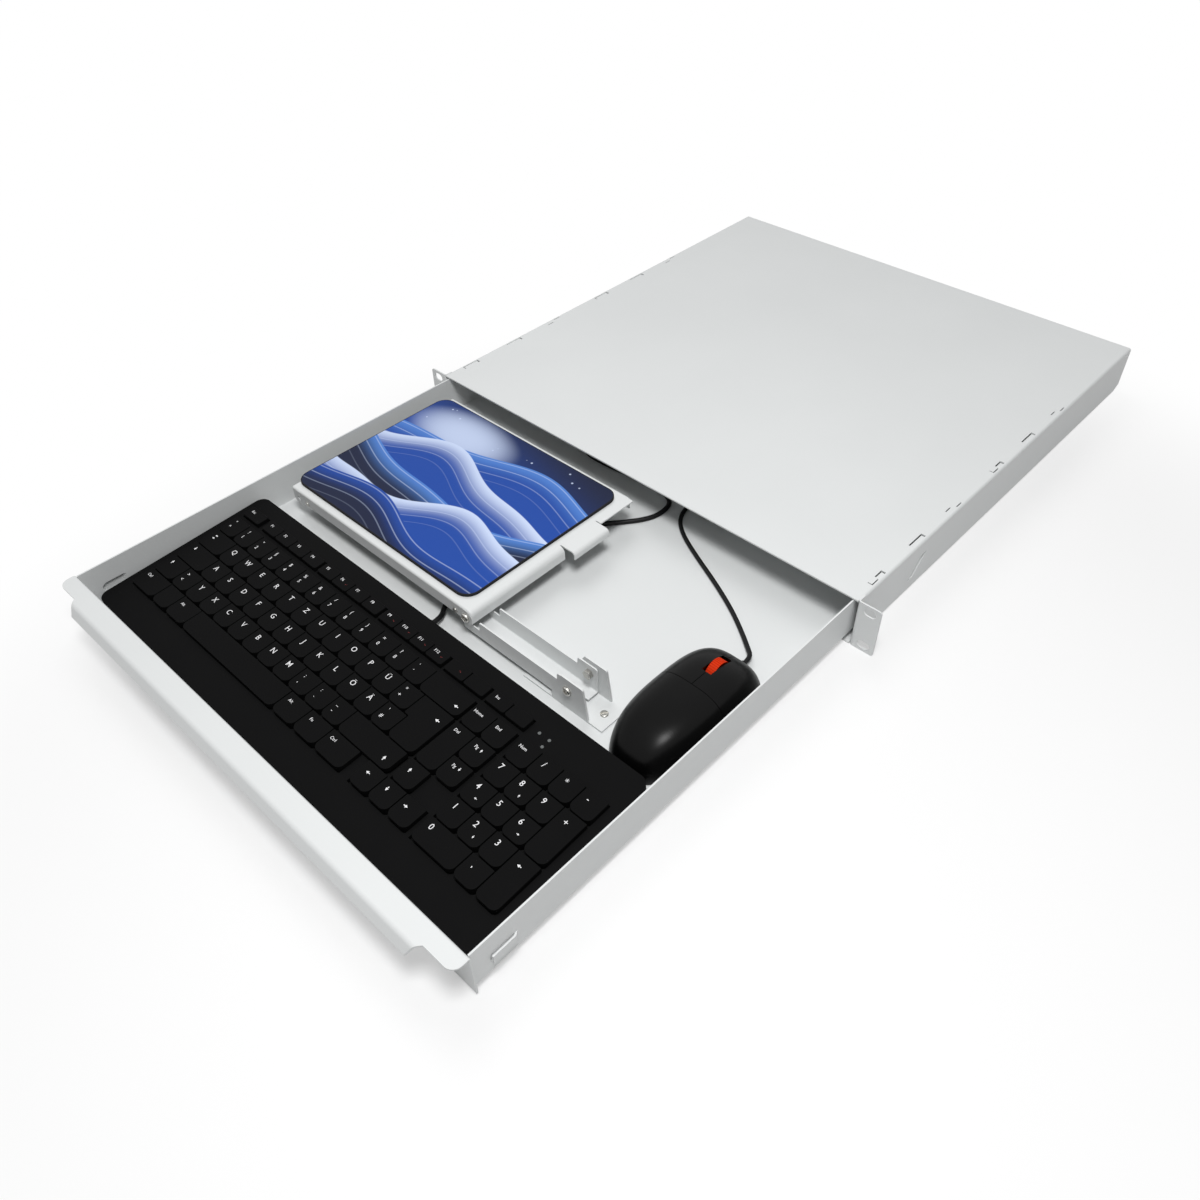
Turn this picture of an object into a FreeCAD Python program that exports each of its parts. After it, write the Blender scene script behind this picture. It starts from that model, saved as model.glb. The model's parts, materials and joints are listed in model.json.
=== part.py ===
import FreeCAD
import Part
import math
import os

from FreeCAD import Vector

# Rack keyboard drawer, 19 inch, one unit high, drawn with the drawer pulled out.
# Frame: origin at the middle of the four ear slots on the front face of the ears,
# X to the right, Y to the rear of the rack, Z up. All sizes are in millimetres.

# Rack standard
PANEL_W = 482.6
PANEL_H = 43.6
EAR_W = 18.3
EAR_HOLE_INSET = 8.75
EAR_HOLE_Z = 31.75
EAR_SLOT_W = 7.0
EAR_SLOT_L = 10.0
EAR_ROOT = 8.0
EAR_CORNER_R = 2.5

# Sheet steel and the gaps between sliding sheets
SHEET = 1.2
BEND_R = 1.0
RUN_GAP = 0.3
TOP_GAP = 1.1
STOP_GAP = 0.3

# Case
CASE_D = 455.0
FLANGE_W = 10.0
JOGGLE_W = 5.0
RUNNER_W = 11.0
REAR_LIP_H = 10.0
REAR_LIP_INSET = 14.0
REAR_CHAMFER_Y = 12.0
REAR_CHAMFER_Z = 6.0

# Pressed marks along the top edges and the slanted window in each side
MARK_L = 18.0
MARK_W = 4.0
MARK_INSET = 2.4
MARK_SLIT = 0.9
MARK_PRESS = 0.8
MARK_DASH_L = 7.0
MARK_WAVE_Y = (29.0, 206.0)
MARK_TAB_Y = (84.0, 260.0)
MARK_DASH_Y = (137.0, 313.0)
WINDOW_Y = 73.0
WINDOW_W = 8.0
WINDOW_LEAN = 14.0
WINDOW_H = 17.0
WINDOW_RISE = 11.8
WINDOW_GAP = 3.5

# Drawer
WALL_PLAY = 3.3
DRAWER_D = 445.0
DRAWER_OPEN = 361.0
WALL_H = 34.0
PAN_FRONT_H = 12.0
PAN_REAR_H = 20.0
CABLE_NOTCH_W = 70.0
CABLE_NOTCH_H = 13.0
CABLE_NOTCH_R = 4.0
TONGUE_Y = 23.0
TONGUE_Z = 12.0
TONGUE_L = 21.0
TONGUE_W = 9.5
TONGUE_OUT = 2.0
TONGUE_SLIT = 0.7
STOP_TAB_X = (87.5, 101.5, 142.5, 156.5)
STOP_TAB_W = 3.0
STOP_TAB_T = 1.4
STOP_TAB_H = 4.0
STOP_TAB_GAP = 0.5

# Drawer front with its lip and grip
FRONT_INSET = 3.0
FRONT_DROP = 4.2
LIP_D = 11.5
LIP_CORNER_R = 7.0
GRIP_INSET = 24.0
GRIP_FLAT = 4.0
GRIP_OUT = 8.5
GRIP_DROP = 7.5
GRIP_TAPER = 8.0
GRIP_R = 3.0

# Swing arm and its bracket
PIVOT_X = 118.5
PIVOT_H = 19.0
ARM_L = 103.0
ARM_W = 21.0
ARM_Y = -174.0
ARM_WEB_DROP = 15.5
ARM_FLANGE_RISE = 1.5
ARM_LOBE_RISE = 7.5
ARM_LOBE_L = 11.5
ARM_TAIL = 7.0
ARM_TAB_REACH = 5.0
ARM_TAB_BACK = 3.5
ARM_TAB_RISE = 4.0
ARM_NOTCH_L = 9.0
ARM_NOTCH_DROP = 6.5
ARM_TAIL_NOTCH = 3.0
ARM_LOBE_R = 2.0
ARM_NOTCH_R = 1.0
ARM_TAB_R = 2.5
BRACKET_T = 1.5
BRACKET_LEFT = 44.5
BRACKET_RIGHT = 31.0
EAR_FOOT_LEFT = 15.5
EAR_FOOT_RIGHT = 18.5
EAR_TOP_LEFT = 6.0
EAR_TOP_RIGHT = 14.5
EAR_RISE = 11.0
EAR_R = 2.0
SIDE_GAP = 0.3
SCREW_R = 2.0
SCREW_HEAD_R = 3.8
SCREW_HEAD_H = 2.2
FIT = 0.06
NUT_R = 3.9
NUT_H = 3.0
BASE_SCREW_X = (-30.0, 22.0)
BASE_SCREW_HEAD_R = 3.0
BASE_SCREW_HEAD_H = 1.2

# Mouse tray
TRAY_RIGHT = 6.5
TRAY_WALL_GAP = 17.0
TRAY_D = 174.5
TRAY_RISE = 8.0
TRAY_H = 11.0
TRAY_R = 2.0
TRAY_RIGHT_R = 5.0
LUG_R = 7.0
LEFT_LUG_IN = 9.0
HOOK_Y = (96.0, 134.0)
HOOK_OUT = 10.0
HOOK_DROP = 6.5
HOOK_R = 2.5
HOOK_RELIEF = 1.0
HINGE_LUG_FOOT = 12.0
HINGE_LUG_R = 4.0
RIVET_OFFSET = 11.5
RIVET_R = 1.2
RIVET_HEAD_R = 2.2
RIVET_HEAD_H = 0.8

# Mouse pad
PAD_RIGHT = 11.0
PAD_D = 163.0
PAD_T = 2.5
PAD_R = 12.0
PAD_LEFT = -3.0
PAD_FRONT = 6.5

# Keyboard
KB_LEFT_GAP = 4.3
KB_RIGHT_GAP = 7.3
KB_D = 149.0
KB_FRONT_GAP = 5.6
KB_FRONT_H = 12.9
KB_TILT = 2.98
KB_CORNER_R = 8.0
DECK_T = 5.0
PLATE_T = 1.5
PLATE_INSET = 3.0
PLATE_CLEAR = 0.2
TUB_WALL = 5.0
TUB_FLOOR = 2.0
KB_FOOT_T = 1.0
KB_FOOT_L = 22.0
KB_FOOT_W = 8.0
KB_FOOT_IN = 14.0
BOARD_L = 60.0
BOARD_W = 22.0
BOARD_T = 1.6
LED_R = 1.2
LED_RISE = 0.2
LED_IN = (4.6, 13.6)
LED_BACK = (19.0, 25.5)

# Keys, in steps of the key pitch from the left edge of the key field
KEY_MARGIN_LEFT = 7.9
KEY_MARGIN_RIGHT = 7.43
KEY_GAP = 0.8
KEY_RISE = 3.0
KEY_TRAVEL = 2.0
KEY_SPARE = 0.3
KEY_CORNER_R = 5.0
BOTTOM_ROW = 34.2
FUNCTION_H = 11.5
FUNCTION_R = 2.0
WELL_GAP = 0.5
STEM_R = 2.5
STEM_FIT = 0.3
STEM_REACH = 1.0

# Mouse
MOUSE_WALL = 33.8
MOUSE_Y = -142.0
MOUSE_L = 124.0
MOUSE_W = 63.0
MOUSE_H = 32.5
MOUSE_GLIDE_T = 0.8
MOUSE_HUMP = -12.0
MOUSE_NOSE_POWER = 3.2
MOUSE_TAIL_POWER = 2.3
MOUSE_STATIONS = (-0.97, -0.85, -0.6, -0.25, 0.15, 0.5, 0.8, 0.96)
MOUSE_SKIRT = 9.0
MOUSE_SPLIT = 6.0
MOUSE_SEAM = 0.4
BUTTON_DROP = 2.0
BUTTON_T = 4.0
WHEEL_R = 11.0
WHEEL_W = 6.5
WHEEL_Y = 33.0
WHEEL_RISE = 2.0
WHEEL_GAP = 0.6
AXLE_R = 1.2

# Cords, with their routes laid by hand on the drawer floor
KB_CORD_R = 2.0
MOUSE_CORD_R = 1.75
COIL_WIDE = 3
COIL_HIGH = 4
COIL_BACK = 28.0
COIL_TURN_R = 1.5
RELIEF_L = 6.0
RELIEF_R = 3.2
RELIEF_LIP = 0.8
SEAT_GAP = 0.1
KB_CORD_X = -9.0
KB_CORD_RISE = 6.0
MOUSE_CORD_RISE = 5.0
EXIT_RUN = 8.0
PLUG_L = 22.0
PLUG_W = 11.0
PLUG_H = 7.5
PLUG_SHELL_L = 17.0
PLUG_SHELL_W = 9.0
PLUG_SHELL_H = 4.5
PLUG_CUFF_L = 6.0
PLUG_CUFF_FLARE = 1.2
PLUG_WALL = 0.5
PLUG_R = 1.5
TIE_W = 5.0
TIE_T = 0.8
TIE_CLEAR = 0.4

# Places worked out from the sizes above
EAR_HOLE_X = PANEL_W - 2 * EAR_HOLE_INSET
CASE_W = PANEL_W - 2 * EAR_W
DRAWER_W = CASE_W - 2 * (SHEET + WALL_PLAY)
FRONT_W = CASE_W - 2 * FRONT_INSET
GRIP_W = FRONT_W - 2 * GRIP_INSET
CASE_TOP = PANEL_H / 2
CASE_BOTTOM = -PANEL_H / 2
CASE_IN = CASE_W / 2 - SHEET
WALL_TOP = CASE_TOP - SHEET - TOP_GAP
FLOOR = WALL_TOP - WALL_H
FLOOR_UNDER = FLOOR - SHEET
RUNNER_TOP = FLOOR_UNDER - RUN_GAP
FRONT_Y = -DRAWER_OPEN
PAN_FRONT = FRONT_Y + SHEET
PAN_REAR = FRONT_Y + DRAWER_D
DRAWER_IN = DRAWER_W / 2 - SHEET
PIVOT_Z = FLOOR + PIVOT_H
HINGE_X = PIVOT_X - ARM_L
ARM_FRONT = ARM_Y - ARM_W / 2
ARM_REAR = ARM_Y + ARM_W / 2
TRAY_FRONT = ARM_FRONT - SIDE_GAP - SHEET
TRAY_TOP = PIVOT_Z + TRAY_RISE
TRAY_X1 = HINGE_X + TRAY_RIGHT
TRAY_X0 = -DRAWER_IN + TRAY_WALL_GAP
KB_FRONT = PAN_FRONT + KB_FRONT_GAP
KB_BOTTOM = FLOOR + KB_FOOT_T
DECK_FRONT_Z = FLOOR + KB_FRONT_H
KB_REAR = KB_FRONT + KB_D * math.cos(math.radians(KB_TILT))
KB_LEFT = -DRAWER_IN + KB_LEFT_GAP
KB_W = 2 * DRAWER_IN - KB_LEFT_GAP - KB_RIGHT_GAP
KEY_LEFT = KB_LEFT + KEY_MARGIN_LEFT
PITCH = (KB_W - KEY_MARGIN_LEFT - KEY_MARGIN_RIGHT) / 21.4
MOUSE_X = DRAWER_IN - MOUSE_WALL
MOUSE_BOTTOM = FLOOR + MOUSE_GLIDE_T


def block(x, y, z):
    """Box between the (low, high) pairs x, y and z."""
    size = (x[1] - x[0], y[1] - y[0], z[1] - z[0])
    return Part.makeBox(*size, Vector(x[0], y[0], z[0]))


def rod(radius, start, end):
    """Round bar between two points."""
    run = end - start
    return Part.makeCylinder(radius, run.Length, start, run)


def rounded(points, radii):
    """Edges of an open path whose inner corners are arcs of the given radii."""
    edges = []
    start = points[0]
    for before, corner, after, radius in zip(points, points[1:-1], points[2:], radii):
        back = (before - corner).normalize()
        ahead = (after - corner).normalize()
        half = back.getAngle(ahead) / 2
        if radius > 0:
            first = corner + back * (radius / math.tan(half))
            last = corner + ahead * (radius / math.tan(half))
            inward = (back + ahead).normalize()
            middle = corner + inward * (radius / math.sin(half) - radius)
        else:
            first = corner
            last = corner
        if start.distanceToPoint(first) > 1e-6:
            edges.append(Part.LineSegment(start, first).toShape())
        if radius > 0:
            edges.append(Part.Arc(first, middle, last).toShape())
        start = last
    if start.distanceToPoint(points[-1]) > 1e-6:
        edges.append(Part.LineSegment(start, points[-1]).toShape())
    return edges


def loop(points, radii):
    """Flat face with an outline of (u, v) points, each corner rounded by its own radius."""
    corners = [Vector(u, v, 0) for u, v in points]
    middle = (corners[-1] + corners[0]) * 0.5
    path = [middle] + corners + [middle]
    return Part.Face(Part.Wire(rounded(path, radii)))


def oblong(u, v, radius):
    """Flat rectangle between the (low, high) pairs u and v with equal corners."""
    points = ((u[0], v[0]), (u[1], v[0]), (u[1], v[1]), (u[0], v[1]))
    return loop(points, (radius,) * 4)


def strip(points, radius, thickness=SHEET):
    """Flat section of a bent sheet, along (u, v) points and thickened to their left."""
    base = [Vector(u, v, 0) for u, v in points]
    up = Vector(0, 0, 1)
    runs = [(b - a).normalize() for a, b in zip(base, base[1:])]
    sides = [up.cross(run) for run in runs]
    offset = [base[0] + sides[0] * thickness]
    base_radii = []
    offset_radii = []
    for corner, before, after, run in zip(base[1:-1], sides, sides[1:], runs):
        spread = (before + after).normalize()
        offset.append(corner + spread * (thickness / spread.dot(before)))
        turns_left = after.dot(run) < 0
        base_radii.append(radius + thickness if turns_left else radius)
        offset_radii.append(radius if turns_left else radius + thickness)
    offset.append(base[-1] + sides[-1] * thickness)
    edges = rounded(base, base_radii)
    edges.append(Part.LineSegment(base[-1], offset[-1]).toShape())
    edges += rounded(offset[::-1], offset_radii[::-1])
    edges.append(Part.LineSegment(offset[0], base[0]).toShape())
    return Part.Face(Part.Wire(edges))


def along_z(face, z):
    """Sweep a face drawn as (x, y) between two heights."""
    body = face.extrude(Vector(0, 0, z[1] - z[0]))
    body.translate(Vector(0, 0, z[0]))
    return body


def along_y(face, y):
    """Sweep a face drawn as (x, z) between two places along Y."""
    turned = face.copy()
    turned.rotate(Vector(), Vector(1, 0, 0), 90)
    body = turned.extrude(Vector(0, y[1] - y[0], 0))
    body.translate(Vector(0, y[0], 0))
    return body


def along_x(face, x):
    """Sweep a face drawn as (y, z) between two places along X."""
    turned = face.copy()
    turned.rotate(Vector(), Vector(1, 0, 0), 90)
    turned.rotate(Vector(), Vector(0, 0, 1), 90)
    body = turned.extrude(Vector(x[1] - x[0], 0, 0))
    body.translate(Vector(x[0], 0, 0))
    return body


def joined(shapes):
    """One clean solid from overlapping or touching shapes."""
    return shapes[0].fuse(list(shapes[1:])).removeSplitter()


def mirrored(shape):
    """Copy on the other side of the middle plane."""
    return shape.mirror(Vector(), Vector(1, 0, 0))


def group(solids):
    """Several loose solids kept in one node."""
    return Part.makeCompound(list(solids))


# Case

def edge_marks():
    """Cuts and pressed tabs of the marks along the right top edge."""
    outer = CASE_W / 2 - MARK_INSET
    inner = outer - MARK_W
    through = (CASE_TOP - 2 * SHEET, CASE_TOP + 1)
    flush = (CASE_TOP - SHEET, CASE_TOP)
    pressed = (CASE_TOP - SHEET - MARK_PRESS, CASE_TOP - MARK_PRESS)
    half = MARK_L / 2
    cuts = []
    tabs = []
    for y in MARK_TAB_Y:
        cuts.append(block((inner, outer), (y - half, y + half), through))
        tabs.append(block((inner + MARK_SLIT, outer), (y - half + MARK_SLIT, y + half - MARK_SLIT), pressed))
    for y in MARK_WAVE_Y:
        cuts.append(block((inner, outer), (y - half, y + half), through))
        tabs.append(block((inner + MARK_SLIT, outer), (y, y + half - MARK_SLIT), pressed))
        tabs.append(block((inner, outer - MARK_SLIT), (y - half + MARK_SLIT, y), flush))
    for y in MARK_DASH_Y:
        cuts.append(block((inner, inner + MARK_SLIT), (y - half, y - half + MARK_DASH_L), through))
        cuts.append(block((outer - MARK_SLIT, outer), (y + half - MARK_DASH_L, y + half), through))
    return cuts, tabs


def slanted(y0, y1, z0, z1):
    """Leaning four-sided outline of the side window, as (y, z) points."""
    lean = WINDOW_LEAN * (z1 - z0) / WINDOW_H
    shift = WINDOW_LEAN * (z0 - CASE_BOTTOM - WINDOW_RISE) / WINDOW_H
    points = ((y0 + shift, z0), (y1 + shift, z0), (y1 + shift + lean, z1), (y0 + shift + lean, z1))
    return loop(points, (0,) * 4)


def side_window():
    """Cut and pressed tab of the window in the right side."""
    low = CASE_BOTTOM + WINDOW_RISE
    top = low + WINDOW_H
    cut = along_x(slanted(WINDOW_Y, WINDOW_Y + WINDOW_W, low, top), (CASE_IN - 1, CASE_W / 2 + 1))
    tab = along_x(slanted(WINDOW_Y + WINDOW_GAP, WINDOW_Y + WINDOW_W - MARK_SLIT, low, top - MARK_SLIT),
                  (CASE_IN - MARK_PRESS, CASE_W / 2 - MARK_PRESS))
    return cut, tab


def case_cover():
    """Top, sides, joggled runners and rack ears, bent from one sheet."""
    half = CASE_W / 2
    step = half - FLANGE_W
    shelf = step - JOGGLE_W
    runner_under = RUNNER_TOP - SHEET
    right = [(shelf - RUNNER_W, runner_under), (shelf, runner_under),
             (step, CASE_BOTTOM), (half, CASE_BOTTOM), (half, CASE_TOP)]
    left = [(-x, z) for x, z in reversed(right)]
    shell = along_y(strip(right + left, BEND_R), (0, CASE_D))

    wall_front = block((CASE_IN, half + 1), (-1, EAR_ROOT), (CASE_BOTTOM - 1, CASE_TOP + 1))
    ear_path = [(CASE_IN, EAR_ROOT), (CASE_IN, 0), (PANEL_W / 2, 0)]
    ear = along_z(strip(ear_path, BEND_R), (CASE_BOTTOM, CASE_TOP))
    ear_outline = oblong((CASE_IN - 1, PANEL_W / 2), (CASE_BOTTOM, CASE_TOP), EAR_CORNER_R)
    ear_blank = along_y(ear_outline, (-1, SHEET + 1))
    ear_root = block((CASE_IN - 1, half + 1), (-1, EAR_ROOT + 1), (CASE_BOTTOM, CASE_TOP))
    ear = ear.common(ear_blank.fuse(ear_root))
    for z in (-EAR_HOLE_Z / 2, EAR_HOLE_Z / 2):
        slot = oblong((EAR_HOLE_X / 2 - EAR_SLOT_L / 2, EAR_HOLE_X / 2 + EAR_SLOT_L / 2),
                      (z - EAR_SLOT_W / 2, z + EAR_SLOT_W / 2), EAR_SLOT_W / 2)
        ear = ear.cut(along_y(slot, (-1, SHEET + 1)))

    rear_lip = block((-CASE_IN + REAR_LIP_INSET, CASE_IN - REAR_LIP_INSET),
                     (CASE_D - SHEET, CASE_D), (CASE_TOP - REAR_LIP_H, CASE_TOP))
    chamfer = loop(((CASE_D + 1, CASE_BOTTOM - 1), (CASE_D + 1, CASE_BOTTOM + REAR_CHAMFER_Z),
                    (CASE_D, CASE_BOTTOM + REAR_CHAMFER_Z), (CASE_D - REAR_CHAMFER_Y, CASE_BOTTOM),
                    (CASE_D - REAR_CHAMFER_Y, CASE_BOTTOM - 1)), (0,) * 5)
    shell = shell.cut(along_x(chamfer, (-half - 1, half + 1)))
    cuts, tabs = edge_marks()
    window, window_tab = side_window()
    cuts += [window, wall_front]
    tabs += [window_tab, ear]
    shell = shell.cut(cuts + [mirrored(cut) for cut in cuts])
    return joined([shell, rear_lip] + tabs + [mirrored(tab) for tab in tabs])


# Drawer

def snap_tongue():
    """Spring tongue that stands out of the right wall behind the front."""
    y0 = PAN_FRONT + TONGUE_Y - TONGUE_L / 2
    y1 = PAN_FRONT + TONGUE_Y + TONGUE_L / 2
    z = FLOOR + TONGUE_Z
    path = [(DRAWER_IN, y1 + SHEET), (DRAWER_IN, y1 - SHEET),
            (DRAWER_IN + TONGUE_OUT, y1 - 3 * SHEET), (DRAWER_IN + TONGUE_OUT, y0 + TONGUE_SLIT)]
    half = TONGUE_W / 2 - TONGUE_SLIT
    return along_z(strip(path, BEND_R), (z - half, z + half))


def tongue_slot():
    """Opening round the tongue."""
    y0 = PAN_FRONT + TONGUE_Y - TONGUE_L / 2
    y1 = PAN_FRONT + TONGUE_Y + TONGUE_L / 2
    z = FLOOR + TONGUE_Z
    opening = oblong((y0, y1), (z - TONGUE_W / 2, z + TONGUE_W / 2), TONGUE_W / 2.2)
    return along_x(opening, (DRAWER_IN - 1, DRAWER_W / 2 + 1))


def base_screw_points():
    return [Vector(PIVOT_X + x, ARM_Y, FLOOR) for x in BASE_SCREW_X]


def drawer_pan():
    """Floor, side walls, front and rear flanges, snap tongues and keyboard stops."""
    half = DRAWER_W / 2
    path = [(-half, WALL_TOP), (-half, FLOOR_UNDER), (half, FLOOR_UNDER), (half, WALL_TOP)]
    pan = along_y(strip(path, BEND_R), (PAN_FRONT, PAN_REAR))
    inside = DRAWER_IN - BEND_R
    front = block((-inside, inside), (PAN_FRONT, PAN_FRONT + SHEET), (FLOOR, FLOOR + PAN_FRONT_H))
    rear = block((-inside, inside), (PAN_REAR - SHEET, PAN_REAR), (FLOOR, FLOOR + PAN_REAR_H))
    notch_top = FLOOR + PAN_REAR_H
    notch_half = CABLE_NOTCH_W / 2
    notch_low = notch_top - CABLE_NOTCH_H
    notch = loop(((-notch_half, notch_low), (notch_half, notch_low),
                  (notch_half, notch_top + 1), (-notch_half, notch_top + 1)),
                 (CABLE_NOTCH_R, CABLE_NOTCH_R, 0, 0))
    rear = rear.cut(along_y(notch, (PAN_REAR - 2 * SHEET, PAN_REAR + SHEET)))
    stops = []
    stop_y = keyboard_back(FLOOR) + STOP_TAB_GAP
    for x in STOP_TAB_X:
        for side in (-x, x):
            stops.append(block((side - STOP_TAB_W / 2, side + STOP_TAB_W / 2),
                               (stop_y, stop_y + STOP_TAB_T), (FLOOR, FLOOR + STOP_TAB_H)))
    pan = pan.cut([tongue_slot(), mirrored(tongue_slot())])
    for place in base_screw_points():
        pan = pan.cut(rod(SCREW_R + FIT, place - Vector(0, 0, 2 * SHEET), place + Vector(0, 0, SHEET)))
    return joined([pan, front, rear, snap_tongue(), mirrored(snap_tongue())] + stops)


def drawer_front():
    """Front plate whose top folds out to a lip and, over most of its width, down to a grip."""
    bottom = FLOOR_UNDER - FRONT_DROP
    lip_y = PAN_FRONT - SHEET - LIP_D
    upright = [(PAN_FRONT, bottom), (PAN_FRONT, WALL_TOP), (lip_y, WALL_TOP)]
    plate = along_x(strip(upright, BEND_R), (-FRONT_W / 2, FRONT_W / 2))
    corners = [edge for edge in plate.Edges
               if abs(edge.CenterOfMass.y - lip_y) < 1e-6 and edge.BoundBox.ZLength > SHEET / 2]
    plate = plate.makeFillet(LIP_CORNER_R, corners)
    fold = [(PAN_FRONT - SHEET, WALL_TOP), (lip_y - GRIP_FLAT, WALL_TOP),
            (lip_y - GRIP_OUT, WALL_TOP - GRIP_DROP)]
    grip = along_x(strip(fold, GRIP_R), (-GRIP_W / 2, GRIP_W / 2))
    wide = GRIP_W / 2
    narrow = wide - GRIP_TAPER
    outer = lip_y - GRIP_OUT - SHEET
    trim = loop(((-wide, FRONT_Y), (-wide, lip_y), (-narrow, outer),
                 (narrow, outer), (wide, lip_y), (wide, FRONT_Y)), (0,) * 6)
    grip = grip.common(along_z(trim, (bottom, WALL_TOP + 1)))
    return joined([plate, grip])


# Swing arm bracket

def cross_hole(x, front, rear):
    """Hole along Y for a pivot screw, through everything between front and rear."""
    return rod(SCREW_R + FIT, Vector(x, front - 1, PIVOT_Z), Vector(x, rear + 1, PIVOT_Z))


def bracket():
    """Base plate on the drawer floor with two upright ears for the arm's pivot screws."""
    front = ARM_FRONT - SIDE_GAP - BRACKET_T
    rear = ARM_REAR + SIDE_GAP + BRACKET_T
    base_top = FLOOR + BRACKET_T
    plate = block((PIVOT_X - BRACKET_LEFT, PIVOT_X + BRACKET_RIGHT), (front, rear), (FLOOR, base_top))
    foot = FLOOR + BRACKET_T / 2
    ear = loop(((PIVOT_X - EAR_FOOT_LEFT, foot), (PIVOT_X + EAR_FOOT_RIGHT, foot),
                (PIVOT_X + EAR_TOP_RIGHT, PIVOT_Z + EAR_RISE), (PIVOT_X - EAR_TOP_LEFT, PIVOT_Z + EAR_RISE),
                (PIVOT_X - EAR_FOOT_LEFT, PIVOT_Z - EAR_TOP_LEFT)), (0, 0, EAR_R, EAR_R, EAR_R))
    ears = [along_y(ear, (front, front + BRACKET_T)), along_y(ear, (rear - BRACKET_T, rear))]
    body = joined([plate] + ears)
    body = body.cut(cross_hole(PIVOT_X, front, rear))
    for place in base_screw_points():
        body = body.cut(rod(SCREW_R + FIT, place - Vector(0, 0, 1), place + Vector(0, 0, 2 * BRACKET_T)))
    return body


def domed_screw(seat, aim, length, head_r=SCREW_HEAD_R, head_h=SCREW_HEAD_H):
    """Domed screw whose head stands on the seat and whose shank runs along aim."""
    shank = rod(SCREW_R, seat, seat + aim * length)
    head = rod(head_r, seat, seat - aim * head_h)
    rim = [edge for edge in head.Edges
           if edge.Closed and edge.CenterOfMass.distanceToPoint(seat) > head_h / 2]
    head = head.makeFillet(0.7 * head_h, rim)
    return joined([head, shank])


def hex_nut(seat, aim):
    """Nut on a screw, standing off from the seat along aim by the side gap."""
    corners = [Vector(NUT_R * math.cos(math.radians(60 * i)), 0, NUT_R * math.sin(math.radians(60 * i)))
               for i in range(7)]
    face = Part.Face(Part.makePolygon(corners))
    nut = face.extrude(aim * NUT_H)
    nut.translate(seat + aim * SIDE_GAP)
    return nut.cut(rod(SCREW_R + FIT / 2, seat, seat + aim * (SIDE_GAP + NUT_H + 1)))


def bracket_screws():
    """Low-headed screws that hold the bracket to the drawer floor."""
    down = Vector(0, 0, -1)
    seats = [place + Vector(0, 0, BRACKET_T) for place in base_screw_points()]
    return group(domed_screw(seat, down, BRACKET_T + SHEET, BASE_SCREW_HEAD_R, BASE_SCREW_HEAD_H)
                 for seat in seats)


def pivot_pair(x, wall):
    """Front and rear pivot screws at x, with heads outside walls of the given thickness."""
    front = Vector(x, ARM_FRONT - SIDE_GAP - wall, PIVOT_Z)
    rear = Vector(x, ARM_REAR + SIDE_GAP + wall, PIVOT_Z)
    length = wall + 2 * SIDE_GAP + SHEET + NUT_H
    aim = Vector(0, 1, 0)
    return group([domed_screw(front, aim, length), domed_screw(rear, -aim, length)])


def nut_pair(x):
    """Nuts of the front and rear pivot screws, inside the arm's channel."""
    front = Vector(x, ARM_FRONT + SHEET, PIVOT_Z)
    rear = Vector(x, ARM_REAR - SHEET, PIVOT_Z)
    aim = Vector(0, 1, 0)
    return group([hex_nut(front, aim), hex_nut(rear, -aim)])


# Swing arm

def swing_arm():
    """Channel with raised lobes at the bracket pivot and end tabs at the tray hinge."""
    web = PIVOT_Z - ARM_WEB_DROP
    lobe = PIVOT_Z + ARM_LOBE_RISE
    path = [(ARM_FRONT, lobe), (ARM_FRONT, web), (ARM_REAR, web), (ARM_REAR, lobe)]
    left = HINGE_X - ARM_TAB_REACH
    right = PIVOT_X + ARM_TAIL
    channel = along_x(strip(path, BEND_R), (left, right))
    flange = PIVOT_Z + ARM_FLANGE_RISE
    notch = PIVOT_Z - ARM_NOTCH_DROP
    tab_right = HINGE_X + ARM_TAB_BACK
    tab_top = PIVOT_Z + ARM_TAB_RISE
    notch_right = tab_right + ARM_NOTCH_L
    lobe_left = PIVOT_X - ARM_LOBE_L
    side = loop(((left, web - 1), (right, web - 1), (right, lobe), (lobe_left, lobe), (lobe_left, flange),
                 (notch_right, flange), (notch_right, notch), (tab_right, notch), (tab_right, tab_top),
                 (left, tab_top)),
                (0, 0, ARM_LOBE_R, ARM_LOBE_R, ARM_NOTCH_R, ARM_NOTCH_R, ARM_NOTCH_R, ARM_NOTCH_R,
                 ARM_TAB_R, ARM_TAB_R))
    arm = channel.common(along_y(side, (ARM_FRONT - 1, ARM_REAR + 1)))
    tail = block((right - ARM_TAIL_NOTCH, right + 1), (ARM_FRONT + 2 * SHEET, ARM_Y),
                 (web - 1, web + 2 * SHEET))
    holes = [cross_hole(x, ARM_FRONT, ARM_REAR) for x in (PIVOT_X, HINGE_X)]
    return arm.cut([tail] + holes)


# Mouse tray

def tray_body(inset):
    """Outer block of the tray, or the hollow inside it, with rounded folds."""
    x0 = TRAY_X0 + inset
    x1 = TRAY_X1 - inset
    top = TRAY_TOP - inset
    bottom = TRAY_TOP - TRAY_H - inset
    section = loop(((x0, bottom), (x1, bottom), (x1, top), (x0, top)),
                   (0, 0, TRAY_RIGHT_R - inset, TRAY_R - inset))
    body = along_y(section, (TRAY_FRONT + inset, TRAY_FRONT + TRAY_D - inset))
    folds = [edge for edge in body.Edges
             if abs(edge.BoundBox.ZMax - top) < 1e-6 and abs(edge.BoundBox.ZMin - top) < 1e-6
             and edge.BoundBox.XLength > 10]
    return body.makeFillet(TRAY_R - inset, folds)


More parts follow.
